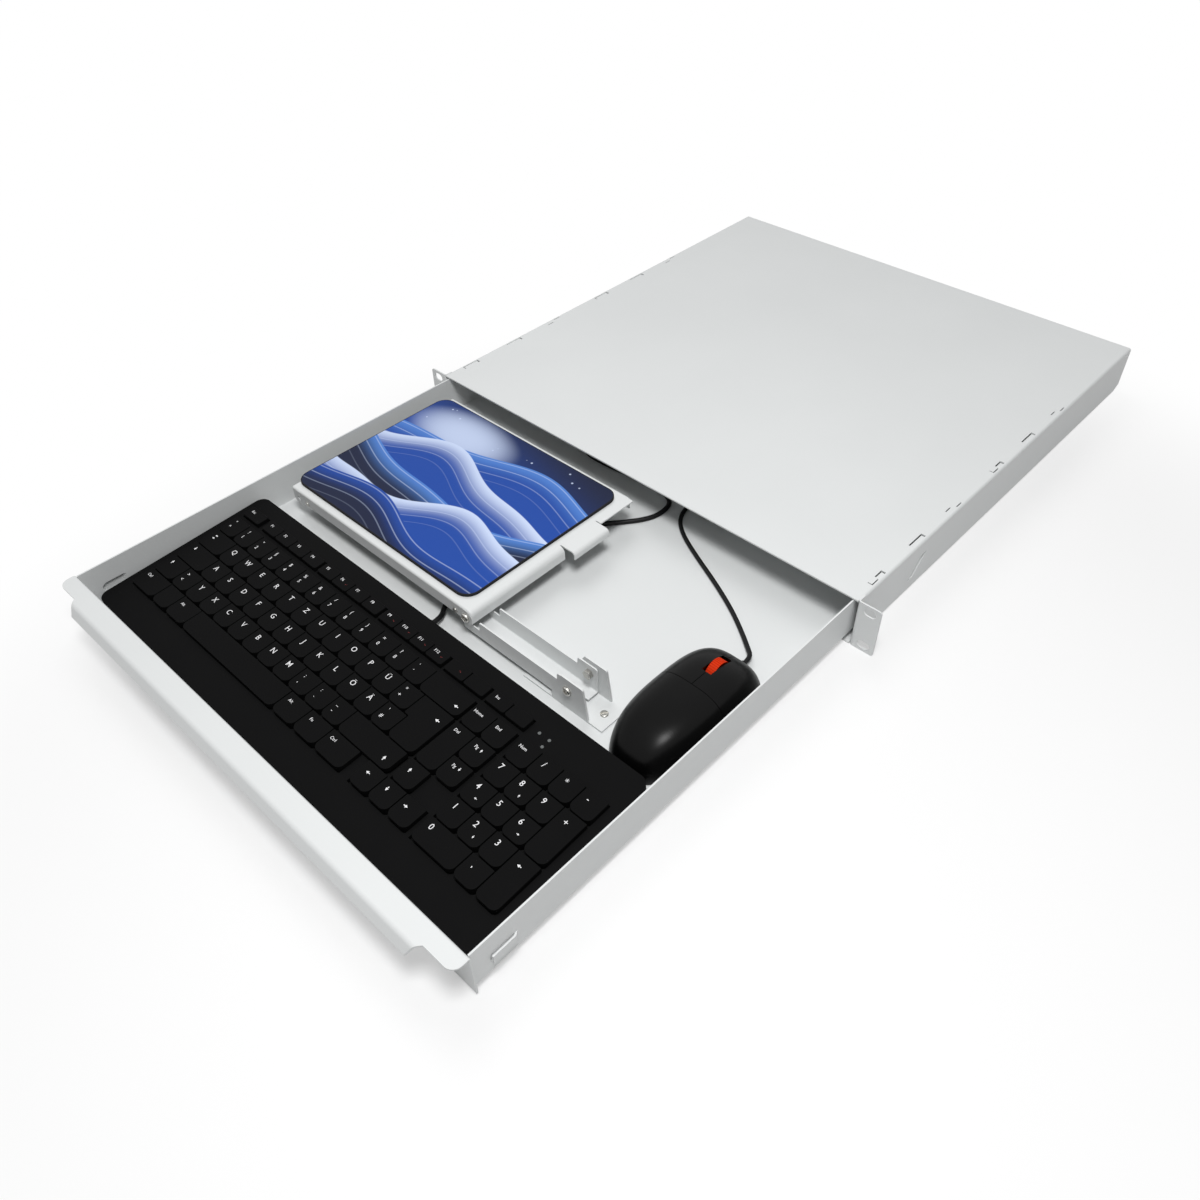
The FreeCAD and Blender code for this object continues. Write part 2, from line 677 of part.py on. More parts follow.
def tray_hook():
    """Tab that carries the plate out past the right edge and curls down."""
    y = (TRAY_FRONT + HOOK_Y[0], TRAY_FRONT + HOOK_Y[1])
    tip = TRAY_X1 + HOOK_OUT
    path = [(tip, TRAY_TOP - HOOK_DROP), (tip, TRAY_TOP), (TRAY_X1 - TRAY_RIGHT_R - 1, TRAY_TOP)]
    return along_y(strip(path, HOOK_R), y)


def mouse_tray():
    """Shallow tray of bent sheet, stowed rim down, with pivot lugs, a hook tab and no rim behind the tab."""
    fold_x = TRAY_X1 - TRAY_RIGHT_R
    no_rim = block((fold_x, TRAY_X1 + 1),
                   (TRAY_FRONT + HOOK_Y[0] - HOOK_RELIEF, TRAY_FRONT + TRAY_D + 1),
                   (TRAY_TOP - TRAY_H - 1, TRAY_TOP + 1))
    tray = tray_body(0).cut(tray_body(SHEET)).cut(no_rim)
    flat_edge = block((fold_x - 1, TRAY_X1),
                      (TRAY_FRONT + HOOK_Y[1] + HOOK_RELIEF, TRAY_FRONT + TRAY_D - TRAY_R),
                      (TRAY_TOP - SHEET, TRAY_TOP))
    lugs = []
    holes = []
    for x in (HINGE_X, TRAY_X0 + LEFT_LUG_IN):
        centre = Vector(x, TRAY_FRONT, PIVOT_Z)
        lugs.append(rod(LUG_R, centre, centre + Vector(0, SHEET, 0)))
        holes.append(rod(SCREW_R + FIT, centre - Vector(0, 1, 0), centre + Vector(0, 2 * SHEET, 0)))
    for place in rivet_points():
        holes.append(rod(RIVET_R + FIT, place - Vector(0, 1, 0), place + Vector(0, 2 * SHEET, 0)))
    right_edge = block((TRAY_X1, TRAY_X1 + LUG_R), (TRAY_FRONT - 1, TRAY_FRONT + SHEET + 1),
                       (PIVOT_Z - LUG_R - 1, PIVOT_Z + LUG_R + 1))
    lugs[0] = lugs[0].cut(right_edge)
    return joined([tray, tray_hook(), flat_edge] + lugs).cut(holes)


def tray_hinge_lug():
    """Inner lug under the tray plate that carries the rear end of the tray hinge."""
    under = TRAY_TOP - SHEET
    front = ARM_REAR + SIDE_GAP
    x0 = HINGE_X - LUG_R
    x1 = TRAY_X1 - SHEET - SIDE_GAP
    upright = loop(((x0, PIVOT_Z - LUG_R), (x1, PIVOT_Z - LUG_R), (x1, under - TRAY_RIGHT_R),
                    (x1 - TRAY_RIGHT_R, under), (x0, under)), (HINGE_LUG_R, HINGE_LUG_R, 0, 0, 0))
    lug = along_y(upright, (front, front + SHEET))
    foot = block((x0, x1 - TRAY_RIGHT_R), (front, front + HINGE_LUG_FOOT), (under - SHEET, under))
    centre = Vector(HINGE_X, front, PIVOT_Z)
    hole = rod(SCREW_R + FIT, centre - Vector(0, 1, 0), centre + Vector(0, 2 * SHEET, 0))
    return joined([lug, foot]).cut(hole)


def rivet_points():
    left = TRAY_X0 + LEFT_LUG_IN + RIVET_OFFSET
    return [Vector(x, TRAY_FRONT, PIVOT_Z) for x in (HINGE_X - RIVET_OFFSET, left)]


def tray_rivets():
    """Stop rivets beside the two pivot lugs of the tray."""
    rivets = []
    for place in rivet_points():
        shank = rod(RIVET_R, place, place + Vector(0, 2.5 * SHEET, 0))
        head = rod(RIVET_HEAD_R, place, place - Vector(0, RIVET_HEAD_H, 0))
        rivets.append(joined([shank, head]))
    return group(rivets)


def mouse_pad():
    """Foam pad with rounded corners, lying on the tray."""
    x = (TRAY_X0 + PAD_LEFT, TRAY_X1 - PAD_RIGHT)
    y = (TRAY_FRONT + PAD_FRONT, TRAY_FRONT + PAD_FRONT + PAD_D)
    return along_z(oblong(x, y, PAD_R), (TRAY_TOP, TRAY_TOP + PAD_T))


# Keyboard, drawn flat with its deck top at height zero and its front edge at y zero.
# Key places and widths are counted in steps of the key pitch.

FUNCTION_ROW = 5
NAV = 15.2
PAD = 17.4


def function_groups():
    """First step, key width and number of keys of each group in the top row."""
    return ((1.4, 0.95, 4), (5.3, 0.95, 4), (9.2, 0.92, 4), (13.0, 1.05, 2), (NAV, 1.0, 2))


def tilted(shape):
    """Lay a flat keyboard piece on its slope in the drawer."""
    placed = shape.copy()
    placed.rotate(Vector(), Vector(1, 0, 0), KB_TILT)
    placed.translate(Vector(0, KB_FRONT, DECK_FRONT_Z))
    return placed


def keyboard_back(z):
    """Place of the leaning rear face of the keyboard at height z."""
    top = DECK_FRONT_Z + KB_D * math.sin(math.radians(KB_TILT))
    return KB_REAR + (top - z) * math.tan(math.radians(KB_TILT))


def board_outline(inset):
    """Plan of the keyboard, or of a layer inset from it."""
    return oblong((KB_LEFT + inset, KB_LEFT + KB_W - inset), (inset, KB_D - inset),
                  max(KB_CORNER_R - inset, 1.0))


def row_y(row):
    """Middle of a key row, counted from the space bar's row."""
    return BOTTOM_ROW + row * PITCH


def key_x(step):
    return KEY_LEFT + step * PITCH


def key_frame(start, width, row, rows=1, height=PITCH):
    """Low and high edges of a key cap in x and y."""
    x = (key_x(start) + KEY_GAP / 2, key_x(start + width) - KEY_GAP / 2)
    centre = row_y(row) + (rows - 1) * PITCH / 2
    tall = height + (rows - 1) * PITCH - KEY_GAP
    return x, (centre - tall / 2, centre + tall / 2)


def cap(start, width, row, rows=1):
    """Flat-topped key cap with a rounded lower edge, standing on the switch plate."""
    x, y = key_frame(start, width, row, rows)
    face = loop(((x[0], y[0]), (x[1], y[0]), (x[1], y[1]), (x[0], y[1])),
                (KEY_CORNER_R, KEY_CORNER_R, 0, 0))
    return along_z(face, (PLATE_T - DECK_T, KEY_RISE))


def function_cap(start, width):
    """Half-height cap of the top row."""
    x, y = key_frame(start, width, FUNCTION_ROW, height=FUNCTION_H)
    return along_z(oblong(x, y, FUNCTION_R), (PLATE_T - DECK_T, KEY_RISE))


def enter_cap():
    """Two-row enter key with its step at the lower left."""
    x, y = key_frame(13.5, 1.6, 2, 2)
    step_x = x[0] + PITCH / 4
    step_y = y[0] + PITCH
    face = loop(((step_x, y[0]), (x[1], y[0]), (x[1], y[1]), (x[0], y[1]), (x[0], step_y),
                 (step_x, step_y)), (KEY_CORNER_R, KEY_CORNER_R, 0, 0, 1.0, 1.0))
    return along_z(face, (PLATE_T - DECK_T, KEY_RISE))


def single_caps(start, count, row):
    return [cap(start + i, 1.0, row) for i in range(count)]


def sprung(shape):
    """Key cap lifted off the plate by its travel, with a stem that slides in the plate."""
    lift = PLATE_T - DECK_T + KEY_TRAVEL + KEY_SPARE
    box = shape.BoundBox
    keep = block((box.XMin - 1, box.XMax + 1), (box.YMin - 1, box.YMax + 1), (lift, KEY_RISE + 1))
    foot = Vector(box.Center.x, box.Center.y, -DECK_T - STEM_REACH)
    stem = rod(STEM_R, foot, Vector(foot.x, foot.y, lift))
    return joined([shape.common(keep), stem])


# Keys with a node and a travel of their own: start, width, row and rows
SPRUNG_KEYS = {
    "key_tab": (0.0, 1.5, 3, 1),
    "key_caps": (0.0, 1.75, 2, 1),
    "key_shift_left": (0.0, 1.25, 1, 1),
    "key_shift_right": (12.25, 2.75, 1, 1),
    "key_backspace": (13.0, 2.1, 4, 1),
    "key_space": (3.75, 6.0, 0, 1),
    "key_arrow_up": (NAV, 1.0, 1, 1),
    "key_pad_zero": (PAD, 2.0, 0, 1),
    "key_pad_enter": (PAD + 3.0, 1.0, 0, 2),
    "key_pad_plus": (PAD + 3.0, 1.0, 2, 2),
}


def key_nodes():
    """Flat key caps by node: sprung single keys and rows of the other keys."""
    sprung_caps = {name: cap(*frame) for name, frame in SPRUNG_KEYS.items()}
    sprung_caps["key_enter"] = enter_cap()
    sprung_caps["key_escape"] = function_cap(0.0, 1.15)
    fixed = {
        "keys_function": [function_cap(start + i * width, width)
                          for start, width, count in function_groups() for i in range(count)],
        "keys_digits": single_caps(0.0, 13, 4),
        "keys_upper": single_caps(1.5, 12, 3),
        "keys_home": single_caps(1.75, 12, 2)[:-1] + [cap(12.75, 1.0, 2)],
        "keys_lower": single_caps(1.25, 11, 1),
        "keys_bottom": [cap(0.0, 1.5, 0), cap(1.5, 1.0, 0), cap(2.5, 1.25, 0), cap(9.75, 1.25, 0),
                        cap(11.0, 1.25, 0), cap(12.25, 1.5, 0)],
        "keys_navigation": [cap(NAV, 1.0, 4), cap(NAV + 1, 1.0, 4), cap(NAV, 1.0, 2, 2),
                            cap(NAV + 1, 1.0, 3), cap(NAV + 1, 1.0, 2)] + single_caps(NAV - 1, 3, 0),
        "keys_pad": single_caps(PAD, 4, 4) + single_caps(PAD, 3, 3) + single_caps(PAD, 3, 2)
                    + single_caps(PAD, 3, 1) + [cap(PAD + 2, 1.0, 0)],
    }
    return sprung_caps, fixed


def key_wells():
    """Openings in the deck round each block of keys."""
    top = row_y(4) + PITCH / 2 - KEY_GAP / 2 + WELL_GAP
    bottom = row_y(0) - PITCH / 2 + KEY_GAP / 2 - WELL_GAP
    lower = row_y(1) + PITCH / 2 - KEY_GAP / 2 + WELL_GAP
    function = (row_y(FUNCTION_ROW) - (FUNCTION_H - KEY_GAP) / 2 - WELL_GAP,
                row_y(FUNCTION_ROW) + (FUNCTION_H - KEY_GAP) / 2 + WELL_GAP)
    margin = WELL_GAP - KEY_GAP / 2
    spans = [((0.0, 15.1), (row_y(1) - PITCH / 2, top)), ((0.0, 13.75), (bottom, row_y(1))),
             ((NAV, NAV + 2), (row_y(2) - PITCH / 2 + KEY_GAP / 2 - WELL_GAP, top)),
             ((NAV - 1, NAV + 2), (bottom, row_y(0) + PITCH / 2)), ((NAV, NAV + 1), (row_y(0), lower)),
             ((PAD, PAD + 4), (bottom, top)), ((0.0, 1.15), function)]
    spans += [((start, start + width * count), function) for start, width, count in function_groups()]
    wells = []
    for (first, last), y in spans:
        wells.append(block((key_x(first) - margin, key_x(last) + margin), y, (-2 * DECK_T, 1)))
    return wells


def lamp_places():
    """The three lamps stand in a corner shape behind the number pad."""
    left, right = (key_x(PAD) + inset for inset in LED_IN)
    back, front = (KB_D - inset for inset in LED_BACK)
    return (left, back), (right, back), (right, front)


def keyboard_deck():
    """Top shell with openings for the key blocks and holes for the lamps."""
    slab = along_z(board_outline(0), (-DECK_T, 0))
    recess = along_z(board_outline(PLATE_INSET - PLATE_CLEAR), (-DECK_T - 1, PLATE_T - DECK_T))
    lamps = [rod(LED_R + FIT, Vector(x, y, -DECK_T), Vector(x, y, 1)) for x, y in lamp_places()]
    return tilted(slab.cut([recess] + key_wells() + lamps))


def keyboard_switch_plate(stems):
    """Plate with the switch sheet, drilled for the stems of the sprung keys."""
    plate = along_z(board_outline(PLATE_INSET), (-DECK_T, PLATE_T - DECK_T))
    holes = [rod(STEM_R + STEM_FIT, Vector(x, y, -2 * DECK_T), Vector(x, y, 0)) for x, y in stems]
    return tilted(plate.cut(holes))


def keyboard_base():
    """Bottom shell, open at the top and cut level underneath."""
    deep = 2 * KB_FRONT_H
    outer = tilted(along_z(board_outline(0), (-deep, -DECK_T)))
    inner = tilted(along_z(board_outline(TUB_WALL), (-deep, -DECK_T + 1)))
    reach = (KB_LEFT - 1, KB_LEFT + KB_W + 1)
    depth = (KB_FRONT - deep, KB_FRONT + KB_D + deep)
    above = block(reach, depth, (KB_BOTTOM, WALL_TOP))
    hollow = block(reach, depth, (KB_BOTTOM + TUB_FLOOR, WALL_TOP))
    return outer.common(above).cut(inner.common(hollow))


def keyboard_board():
    """Small control board on the floor of the bottom shell, by the cord."""
    y1 = KB_REAR - 2 * TUB_WALL
    z0 = KB_BOTTOM + TUB_FLOOR
    return block((KB_CORD_X - BOARD_L / 2, KB_CORD_X + BOARD_L / 2), (y1 - BOARD_W, y1), (z0, z0 + BOARD_T))


def keyboard_feet():
    """Four rubber pads under the bottom shell."""
    pads = []
    for x in (KB_LEFT + KB_FOOT_IN, KB_LEFT + KB_W - KB_FOOT_IN - KB_FOOT_L):
        for y in (KB_FRONT + KB_FOOT_IN, KB_REAR - KB_FOOT_IN - KB_FOOT_W):
            pads.append(block((x, x + KB_FOOT_L), (y, y + KB_FOOT_W), (FLOOR, KB_BOTTOM)))
    return group(pads)


def keyboard_lamps():
    """Indicator lenses that stand on the switch plate and fill their holes."""
    bottom = PLATE_T - DECK_T
    return group(tilted(rod(LED_R, Vector(x, y, bottom), Vector(x, y, LED_RISE))) for x, y in lamp_places())


# Mouse, drawn round its own middle with its bottom at height zero

def hull_height(y):
    """Height of the mouse at y: a blunt nose and a round rear, with the hump between them."""
    if y > MOUSE_HUMP:
        return MOUSE_H * (1 - ((y - MOUSE_HUMP) / (MOUSE_L / 2 - MOUSE_HUMP)) ** 4) ** 0.5
    return MOUSE_H * (1 - ((MOUSE_HUMP - y) / (MOUSE_L / 2 + MOUSE_HUMP)) ** 2.4) ** 0.55


def hull_section(y):
    """Cross-section of the mouse at y: flat below, a half ellipse above."""
    along = 2 * y / MOUSE_L
    power = MOUSE_NOSE_POWER if along > 0 else MOUSE_TAIL_POWER
    half = MOUSE_W / 2 * (1 - abs(along) ** power) ** (1 / power)
    height = hull_height(y)
    left = Vector(-half, y, 0)
    right = Vector(half, y, 0)
    waist = height * 0.35
    shoulder = height * 0.88
    inner = half * 0.66
    bow = Part.BSplineCurve()
    bow.interpolate([left, Vector(-half, y, waist), Vector(-inner, y, shoulder), Vector(0, y, height),
                     Vector(inner, y, shoulder), Vector(half, y, waist), right])
    return Part.Wire([bow.toShape(), Part.LineSegment(right, left).toShape()])


def mouse_hull():
    """Whole outer form of the mouse as one solid."""
    return Part.makeLoft([hull_section(share * MOUSE_L / 2) for share in MOUSE_STATIONS], True)


def placed(shape):
    """Put a mouse piece where the mouse lies in the drawer."""
    moved = shape.copy()
    moved.translate(Vector(MOUSE_X, MOUSE_Y, MOUSE_BOTTOM))
    return moved


def mouse_span(y, z, x=(-MOUSE_W, MOUSE_W)):
    return block(x, y, z)


def wheel_height():
    """Height of the wheel's middle, which lets its rim stand out of the buttons."""
    return hull_height(WHEEL_Y) + WHEEL_RISE - WHEEL_R


def wheel_well():
    half = WHEEL_W / 2 + WHEEL_GAP
    reach = WHEEL_R + WHEEL_GAP
    return block((-half, half), (WHEEL_Y - reach, WHEEL_Y + reach), (wheel_height() - reach, MOUSE_H + 5))


def button_floor():
    """Surface under the buttons: the hull sunk by the button's thickness and travel."""
    sunk = mouse_hull()
    sunk.translate(Vector(0, 0, -BUTTON_T - BUTTON_DROP))
    return sunk


def button_skin():
    """Hull with its inside taken away below the buttons."""
    sunk = mouse_hull()
    sunk.translate(Vector(0, 0, -BUTTON_T))
    front = mouse_span((MOUSE_SPLIT + MOUSE_SEAM, MOUSE_L), (MOUSE_SKIRT + BUTTON_DROP, 2 * MOUSE_H))
    return mouse_hull().cut(sunk).common(front).cut(wheel_well())


def mouse_button(side):
    """Left or right button, split along the middle seam."""
    half = (MOUSE_SEAM / 2, MOUSE_W)
    x = half if side > 0 else (-half[1], -half[0])
    return placed(button_skin().common(mouse_span((0, MOUSE_L), (0, 2 * MOUSE_H), x)))


def mouse_palm():
    """Palm cover behind the buttons."""
    span = mouse_span((-MOUSE_L, MOUSE_SPLIT), (MOUSE_SKIRT, 2 * MOUSE_H))
    return placed(mouse_hull().common(span))


def mouse_base():
    """Bottom shell with the deck under the buttons and the wheel well."""
    skirt = mouse_hull().common(mouse_span((-MOUSE_L, MOUSE_L), (0, MOUSE_SKIRT)))
    deck = button_floor().common(mouse_span((MOUSE_SPLIT, MOUSE_L), (MOUSE_SKIRT - 1, 2 * MOUSE_H)))
    body = joined([skirt, deck]).cut(wheel_well())
    start = Vector(-AXLE_REACH, WHEEL_Y, wheel_height())
    bore = rod(AXLE_R + FIT, start, start + Vector(2 * AXLE_REACH, 0, 0))
    return placed(body.cut(bore))


AXLE_REACH = WHEEL_W / 2 + WHEEL_GAP + 4.0


def mouse_axle():
    """Pin of the wheel, held in the bottom shell on both sides of the well."""
    height = wheel_height()
    return placed(rod(AXLE_R, Vector(-AXLE_REACH, WHEEL_Y, height), Vector(AXLE_REACH, WHEEL_Y, height)))


def mouse_wheel():
    """Scroll wheel with rounded rim and a bore for its pin."""
    height = wheel_height()
    start = Vector(-WHEEL_W / 2, WHEEL_Y, height)
    tyre = rod(WHEEL_R, start, start + Vector(WHEEL_W, 0, 0))
    tyre = tyre.makeFillet(1.6, [edge for edge in tyre.Edges if edge.Closed])
    return placed(tyre.cut(rod(AXLE_R + FIT, start - Vector(1, 0, 0), start + Vector(WHEEL_W + 1, 0, 0))))


def mouse_glides():
    """Slide pads under the front and rear of the mouse."""
    pads = []
    for share in (-0.72, 0.72):
        y = share * MOUSE_L / 2
        pads.append(along_z(oblong((-11, 11), (y - 3.5, y + 3.5), 3.0), (-MOUSE_GLIDE_T, 0)))
    return group(placed(pad) for pad in pads)


# Cords

KB_ROUTE = ((-26.0, -168.0), (-35.0, -148.0), (-39.0, -120.0), (-35.0, -90.0), (-23.0, -62.0), (-6.0, -38.0),
            (12.0, -18.0), (25.0, -1.0), (29.5, 14.0), (26.0, 31.0), (8.0, 37.0), (-16.0, 36.0),
            (-42.0, 33.0))
KB_DROP = (-17.0, -181.5)
KB_COIL = Vector(-66.0, PAN_REAR - COIL_BACK, 0)
KB_COIL_R = 20.0
MOUSE_ROUTE = ((162.0, -50.5), (142.0, -37.0), (115.0, -22.5), (85.0, -8.5), (60.0, 4.5), (45.0, 17.5),
               (39.0, 34.0))
MOUSE_DROP = (176.0, -61.5)
MOUSE_COIL = Vector(62.0, PAN_REAR - COIL_BACK, 0)
MOUSE_COIL_R = 20.0
TAIL_RUN = 18.0
TAIL_SHIFT = 7.0
ARC_SHARE = 0.45


def lead_points(exit_point, drop, route, coil_end, radius):
    """Points of a cord: straight out of its sleeve, down to the floor and along to the coil."""
    floor = FLOOR + radius
    straight = exit_point + Vector(0, EXIT_RUN, 0)
    low = Vector(drop[0], drop[1], (exit_point.z + 2 * floor) / 3)
    return [exit_point, straight, low] + [Vector(x, y, floor) for x, y in route] + [Vector(*coil_end, floor)]


def tail_points(coil, ring_r, aim_x, radius):
    """Points of the short end from the rear of a coil up to the middle of its plug."""
    floor = FLOOR + radius
    middle = FLOOR + PLUG_H / 2
    y = coil.y + ring_r
    steps = ((0, y, floor), (TAIL_RUN, y, floor), (2 * TAIL_RUN, y - TAIL_SHIFT, middle),
             (3 * TAIL_RUN - 2, y - TAIL_SHIFT, middle))
    return [Vector(coil.x + aim_x * (2 + step), place, height) for step, place, height in steps]


def cord_tube(name, points, radius):
    """Round tube along straight runs and tangent arcs, checked against its length."""
    radii = []
    for before, corner, after in zip(points, points[1:-1], points[2:]):
        shorter = min(before.distanceToPoint(corner), corner.distanceToPoint(after))
        half = (before - corner).getAngle(after - corner) / 2
        radii.append(ARC_SHARE * shorter * math.tan(half))
    wire = Part.Wire(rounded(points, radii))
    circle = Part.makeCircle(radius, points[0], points[1] - points[0])
    tube = wire.makePipeShell([Part.Wire(circle)], True, False)
    expected = math.pi * radius ** 2 * wire.Length
    print(name, "radii", [round(r, 1) for r in radii], "volume share", round(tube.Volume / expected, 4))
    return tube


def cord_coil(centre, ring_r, cord_r):
    """Outer form of the wound length: a ring with rounded edges on the drawer floor."""
    half = COIL_WIDE * cord_r
    section = oblong((ring_r - half, ring_r + half), (0, 2 * COIL_HIGH * cord_r), COIL_TURN_R)
    section.rotate(Vector(), Vector(1, 0, 0), 90)
    ring = section.revolve(Vector(), Vector(0, 0, 1), 360)
    ring.translate(centre + Vector(0, 0, FLOOR))
    return ring


def cord_tie(centre, ring_r, cord_r, heading):
    """Band round the bundle of a coil, at a heading in degrees."""
    half = COIL_WIDE * cord_r + TIE_CLEAR
    top = 2 * COIL_HIGH * cord_r + TIE_CLEAR
    outer = oblong((ring_r - half - TIE_T, ring_r + half + TIE_T), (0, top + TIE_T), COIL_TURN_R + TIE_T)
    inner = oblong((ring_r - half, ring_r + half), (-top, top), COIL_TURN_R)
    band = along_y(outer, (-TIE_W / 2, TIE_W / 2)).cut(along_y(inner, (-TIE_W, TIE_W)))
    band.rotate(Vector(), Vector(0, 0, 1), heading)
    band.translate(centre + Vector(0, 0, FLOOR))
    return band


def strain_relief(start, cord_r):
    """Tapered sleeve where a cord leaves a housing towards the rear."""
    return Part.makeCone(RELIEF_R, cord_r + RELIEF_LIP, RELIEF_L, start, Vector(0, 1, 0))


def plug_body(end, aim_x, cord_r):
    """Moulded grip of a plug that carries on from the end of a tail along X."""
    x = sorted((end.x + aim_x * PLUG_CUFF_L, end.x + aim_x * (PLUG_CUFF_L + PLUG_L)))
    face = oblong((end.y - PLUG_W / 2, end.y + PLUG_W / 2), (FLOOR, FLOOR + PLUG_H), PLUG_R)
    grip = along_x(face, x)
    cuff = Part.makeCone(cord_r, cord_r + PLUG_CUFF_FLARE, PLUG_CUFF_L + 1, end, Vector(aim_x, 0, 0))
    return joined([grip, cuff])


def plug_shell(end, aim_x):
    """Metal sleeve of a plug with its contact tongue."""
    root = end.x + aim_x * (PLUG_CUFF_L + PLUG_L)
    x = sorted((root, root + aim_x * PLUG_SHELL_L))
    z = FLOOR + PLUG_H / 2
    half = PLUG_SHELL_W / 2
    top = z + PLUG_SHELL_H / 2
    outer = block(x, (end.y - half, end.y + half), (z - PLUG_SHELL_H / 2, top))
    hollow = sorted((root + aim_x * PLUG_WALL, root + aim_x * (PLUG_SHELL_L + 1)))
    inner = block(hollow, (end.y - half + PLUG_WALL, end.y + half - PLUG_WALL), (z, top - PLUG_WALL))
    return outer.cut(inner)


def main():
    sprung_caps, fixed_caps = key_nodes()
    stems = [(shape.BoundBox.Center.x, shape.BoundBox.Center.y) for shape in sprung_caps.values()]
    kb_rise = FLOOR + KB_CORD_RISE
    kb_sleeve = Vector(KB_CORD_X, keyboard_back(kb_rise - RELIEF_R) + SEAT_GAP, kb_rise)
    mouse_nose = MOUSE_Y + MOUSE_STATIONS[-1] * MOUSE_L / 2
    mouse_sleeve = Vector(MOUSE_X, mouse_nose + SEAT_GAP, FLOOR + MOUSE_CORD_RISE)
    sleeve = Vector(0, RELIEF_L, 0)
    kb_end = (KB_COIL.x, KB_COIL.y - KB_COIL_R - 2 * KB_CORD_R)
    kb_lead = lead_points(kb_sleeve + sleeve, KB_DROP, KB_ROUTE, kb_end, KB_CORD_R)
    mouse_end = (MOUSE_COIL.x - MOUSE_COIL_R - 2 * MOUSE_CORD_R, MOUSE_COIL.y)
    mouse_lead = lead_points(mouse_sleeve + sleeve, MOUSE_DROP, MOUSE_ROUTE, mouse_end, MOUSE_CORD_R)
    kb_tail = tail_points(KB_COIL, KB_COIL_R, 1, KB_CORD_R)
    mouse_tail = tail_points(MOUSE_COIL, MOUSE_COIL_R, 1, MOUSE_CORD_R)
    nodes = {
        "case_cover": case_cover(),
        "drawer_pan": drawer_pan(),
        "drawer_front": drawer_front(),
        "bracket": bracket(),
        "bracket_screws": bracket_screws(),
        "arm_pivot_screws": pivot_pair(PIVOT_X, BRACKET_T),
        "arm_pivot_nuts": nut_pair(PIVOT_X),
        "swing_arm": swing_arm(),
        "mouse_tray": mouse_tray(),
        "tray_hinge_lug": tray_hinge_lug(),
        "tray_hinge_screws": pivot_pair(HINGE_X, SHEET),
        "tray_hinge_nuts": nut_pair(HINGE_X),
        "tray_rivets": tray_rivets(),
        "mouse_pad": mouse_pad(),
        "keyboard_base": keyboard_base(),
        "keyboard_deck": keyboard_deck(),
        "keyboard_switch_plate": keyboard_switch_plate(stems),
        "keyboard_board": keyboard_board(),
        "keyboard_feet": keyboard_feet(),
        "keyboard_lamps": keyboard_lamps(),
        "keyboard_strain_relief": strain_relief(kb_sleeve, KB_CORD_R),
        "mouse_base": mouse_base(),
        "mouse_palm": mouse_palm(),
        "mouse_button_left": mouse_button(-1),
        "mouse_button_right": mouse_button(1),
        "mouse_wheel": mouse_wheel(),
        "mouse_axle": mouse_axle(),
        "mouse_glides": mouse_glides(),
        "mouse_strain_relief": strain_relief(mouse_sleeve, MOUSE_CORD_R),
        "keyboard_cord": group([cord_tube("keyboard lead", kb_lead, KB_CORD_R),
                                cord_tube("keyboard tail", kb_tail, KB_CORD_R)]),
        "keyboard_cord_coil": cord_coil(KB_COIL, KB_COIL_R, KB_CORD_R),
        "keyboard_plug": plug_body(kb_tail[-1], 1, KB_CORD_R),
        "keyboard_plug_shell": plug_shell(kb_tail[-1], 1),
        "mouse_cord": group([cord_tube("mouse lead", mouse_lead, MOUSE_CORD_R),
                             cord_tube("mouse tail", mouse_tail, MOUSE_CORD_R)]),
        "mouse_cord_coil": cord_coil(MOUSE_COIL, MOUSE_COIL_R, MOUSE_CORD_R),
        "mouse_plug": plug_body(mouse_tail[-1], 1, MOUSE_CORD_R),
        "mouse_plug_shell": plug_shell(mouse_tail[-1], 1),
        "cord_ties": group([cord_tie(KB_COIL, KB_COIL_R, KB_CORD_R, 215),
                            cord_tie(MOUSE_COIL, MOUSE_COIL_R, MOUSE_CORD_R, 315)]),
    }
    for name, shape in sprung_caps.items():
        nodes[name] = tilted(sprung(shape))
    for name, shapes in fixed_caps.items():
        nodes[name] = group(tilted(shape) for shape in shapes)

    os.makedirs("parts", exist_ok=True)
    for name, shape in nodes.items():
        shape.exportStep("parts/" + name + ".step")
        if not shape.isValid():
            print("not valid:", name)
    print(len(nodes), "nodes")


main()
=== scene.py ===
import json
import math

import bpy
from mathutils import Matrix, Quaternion, Vector


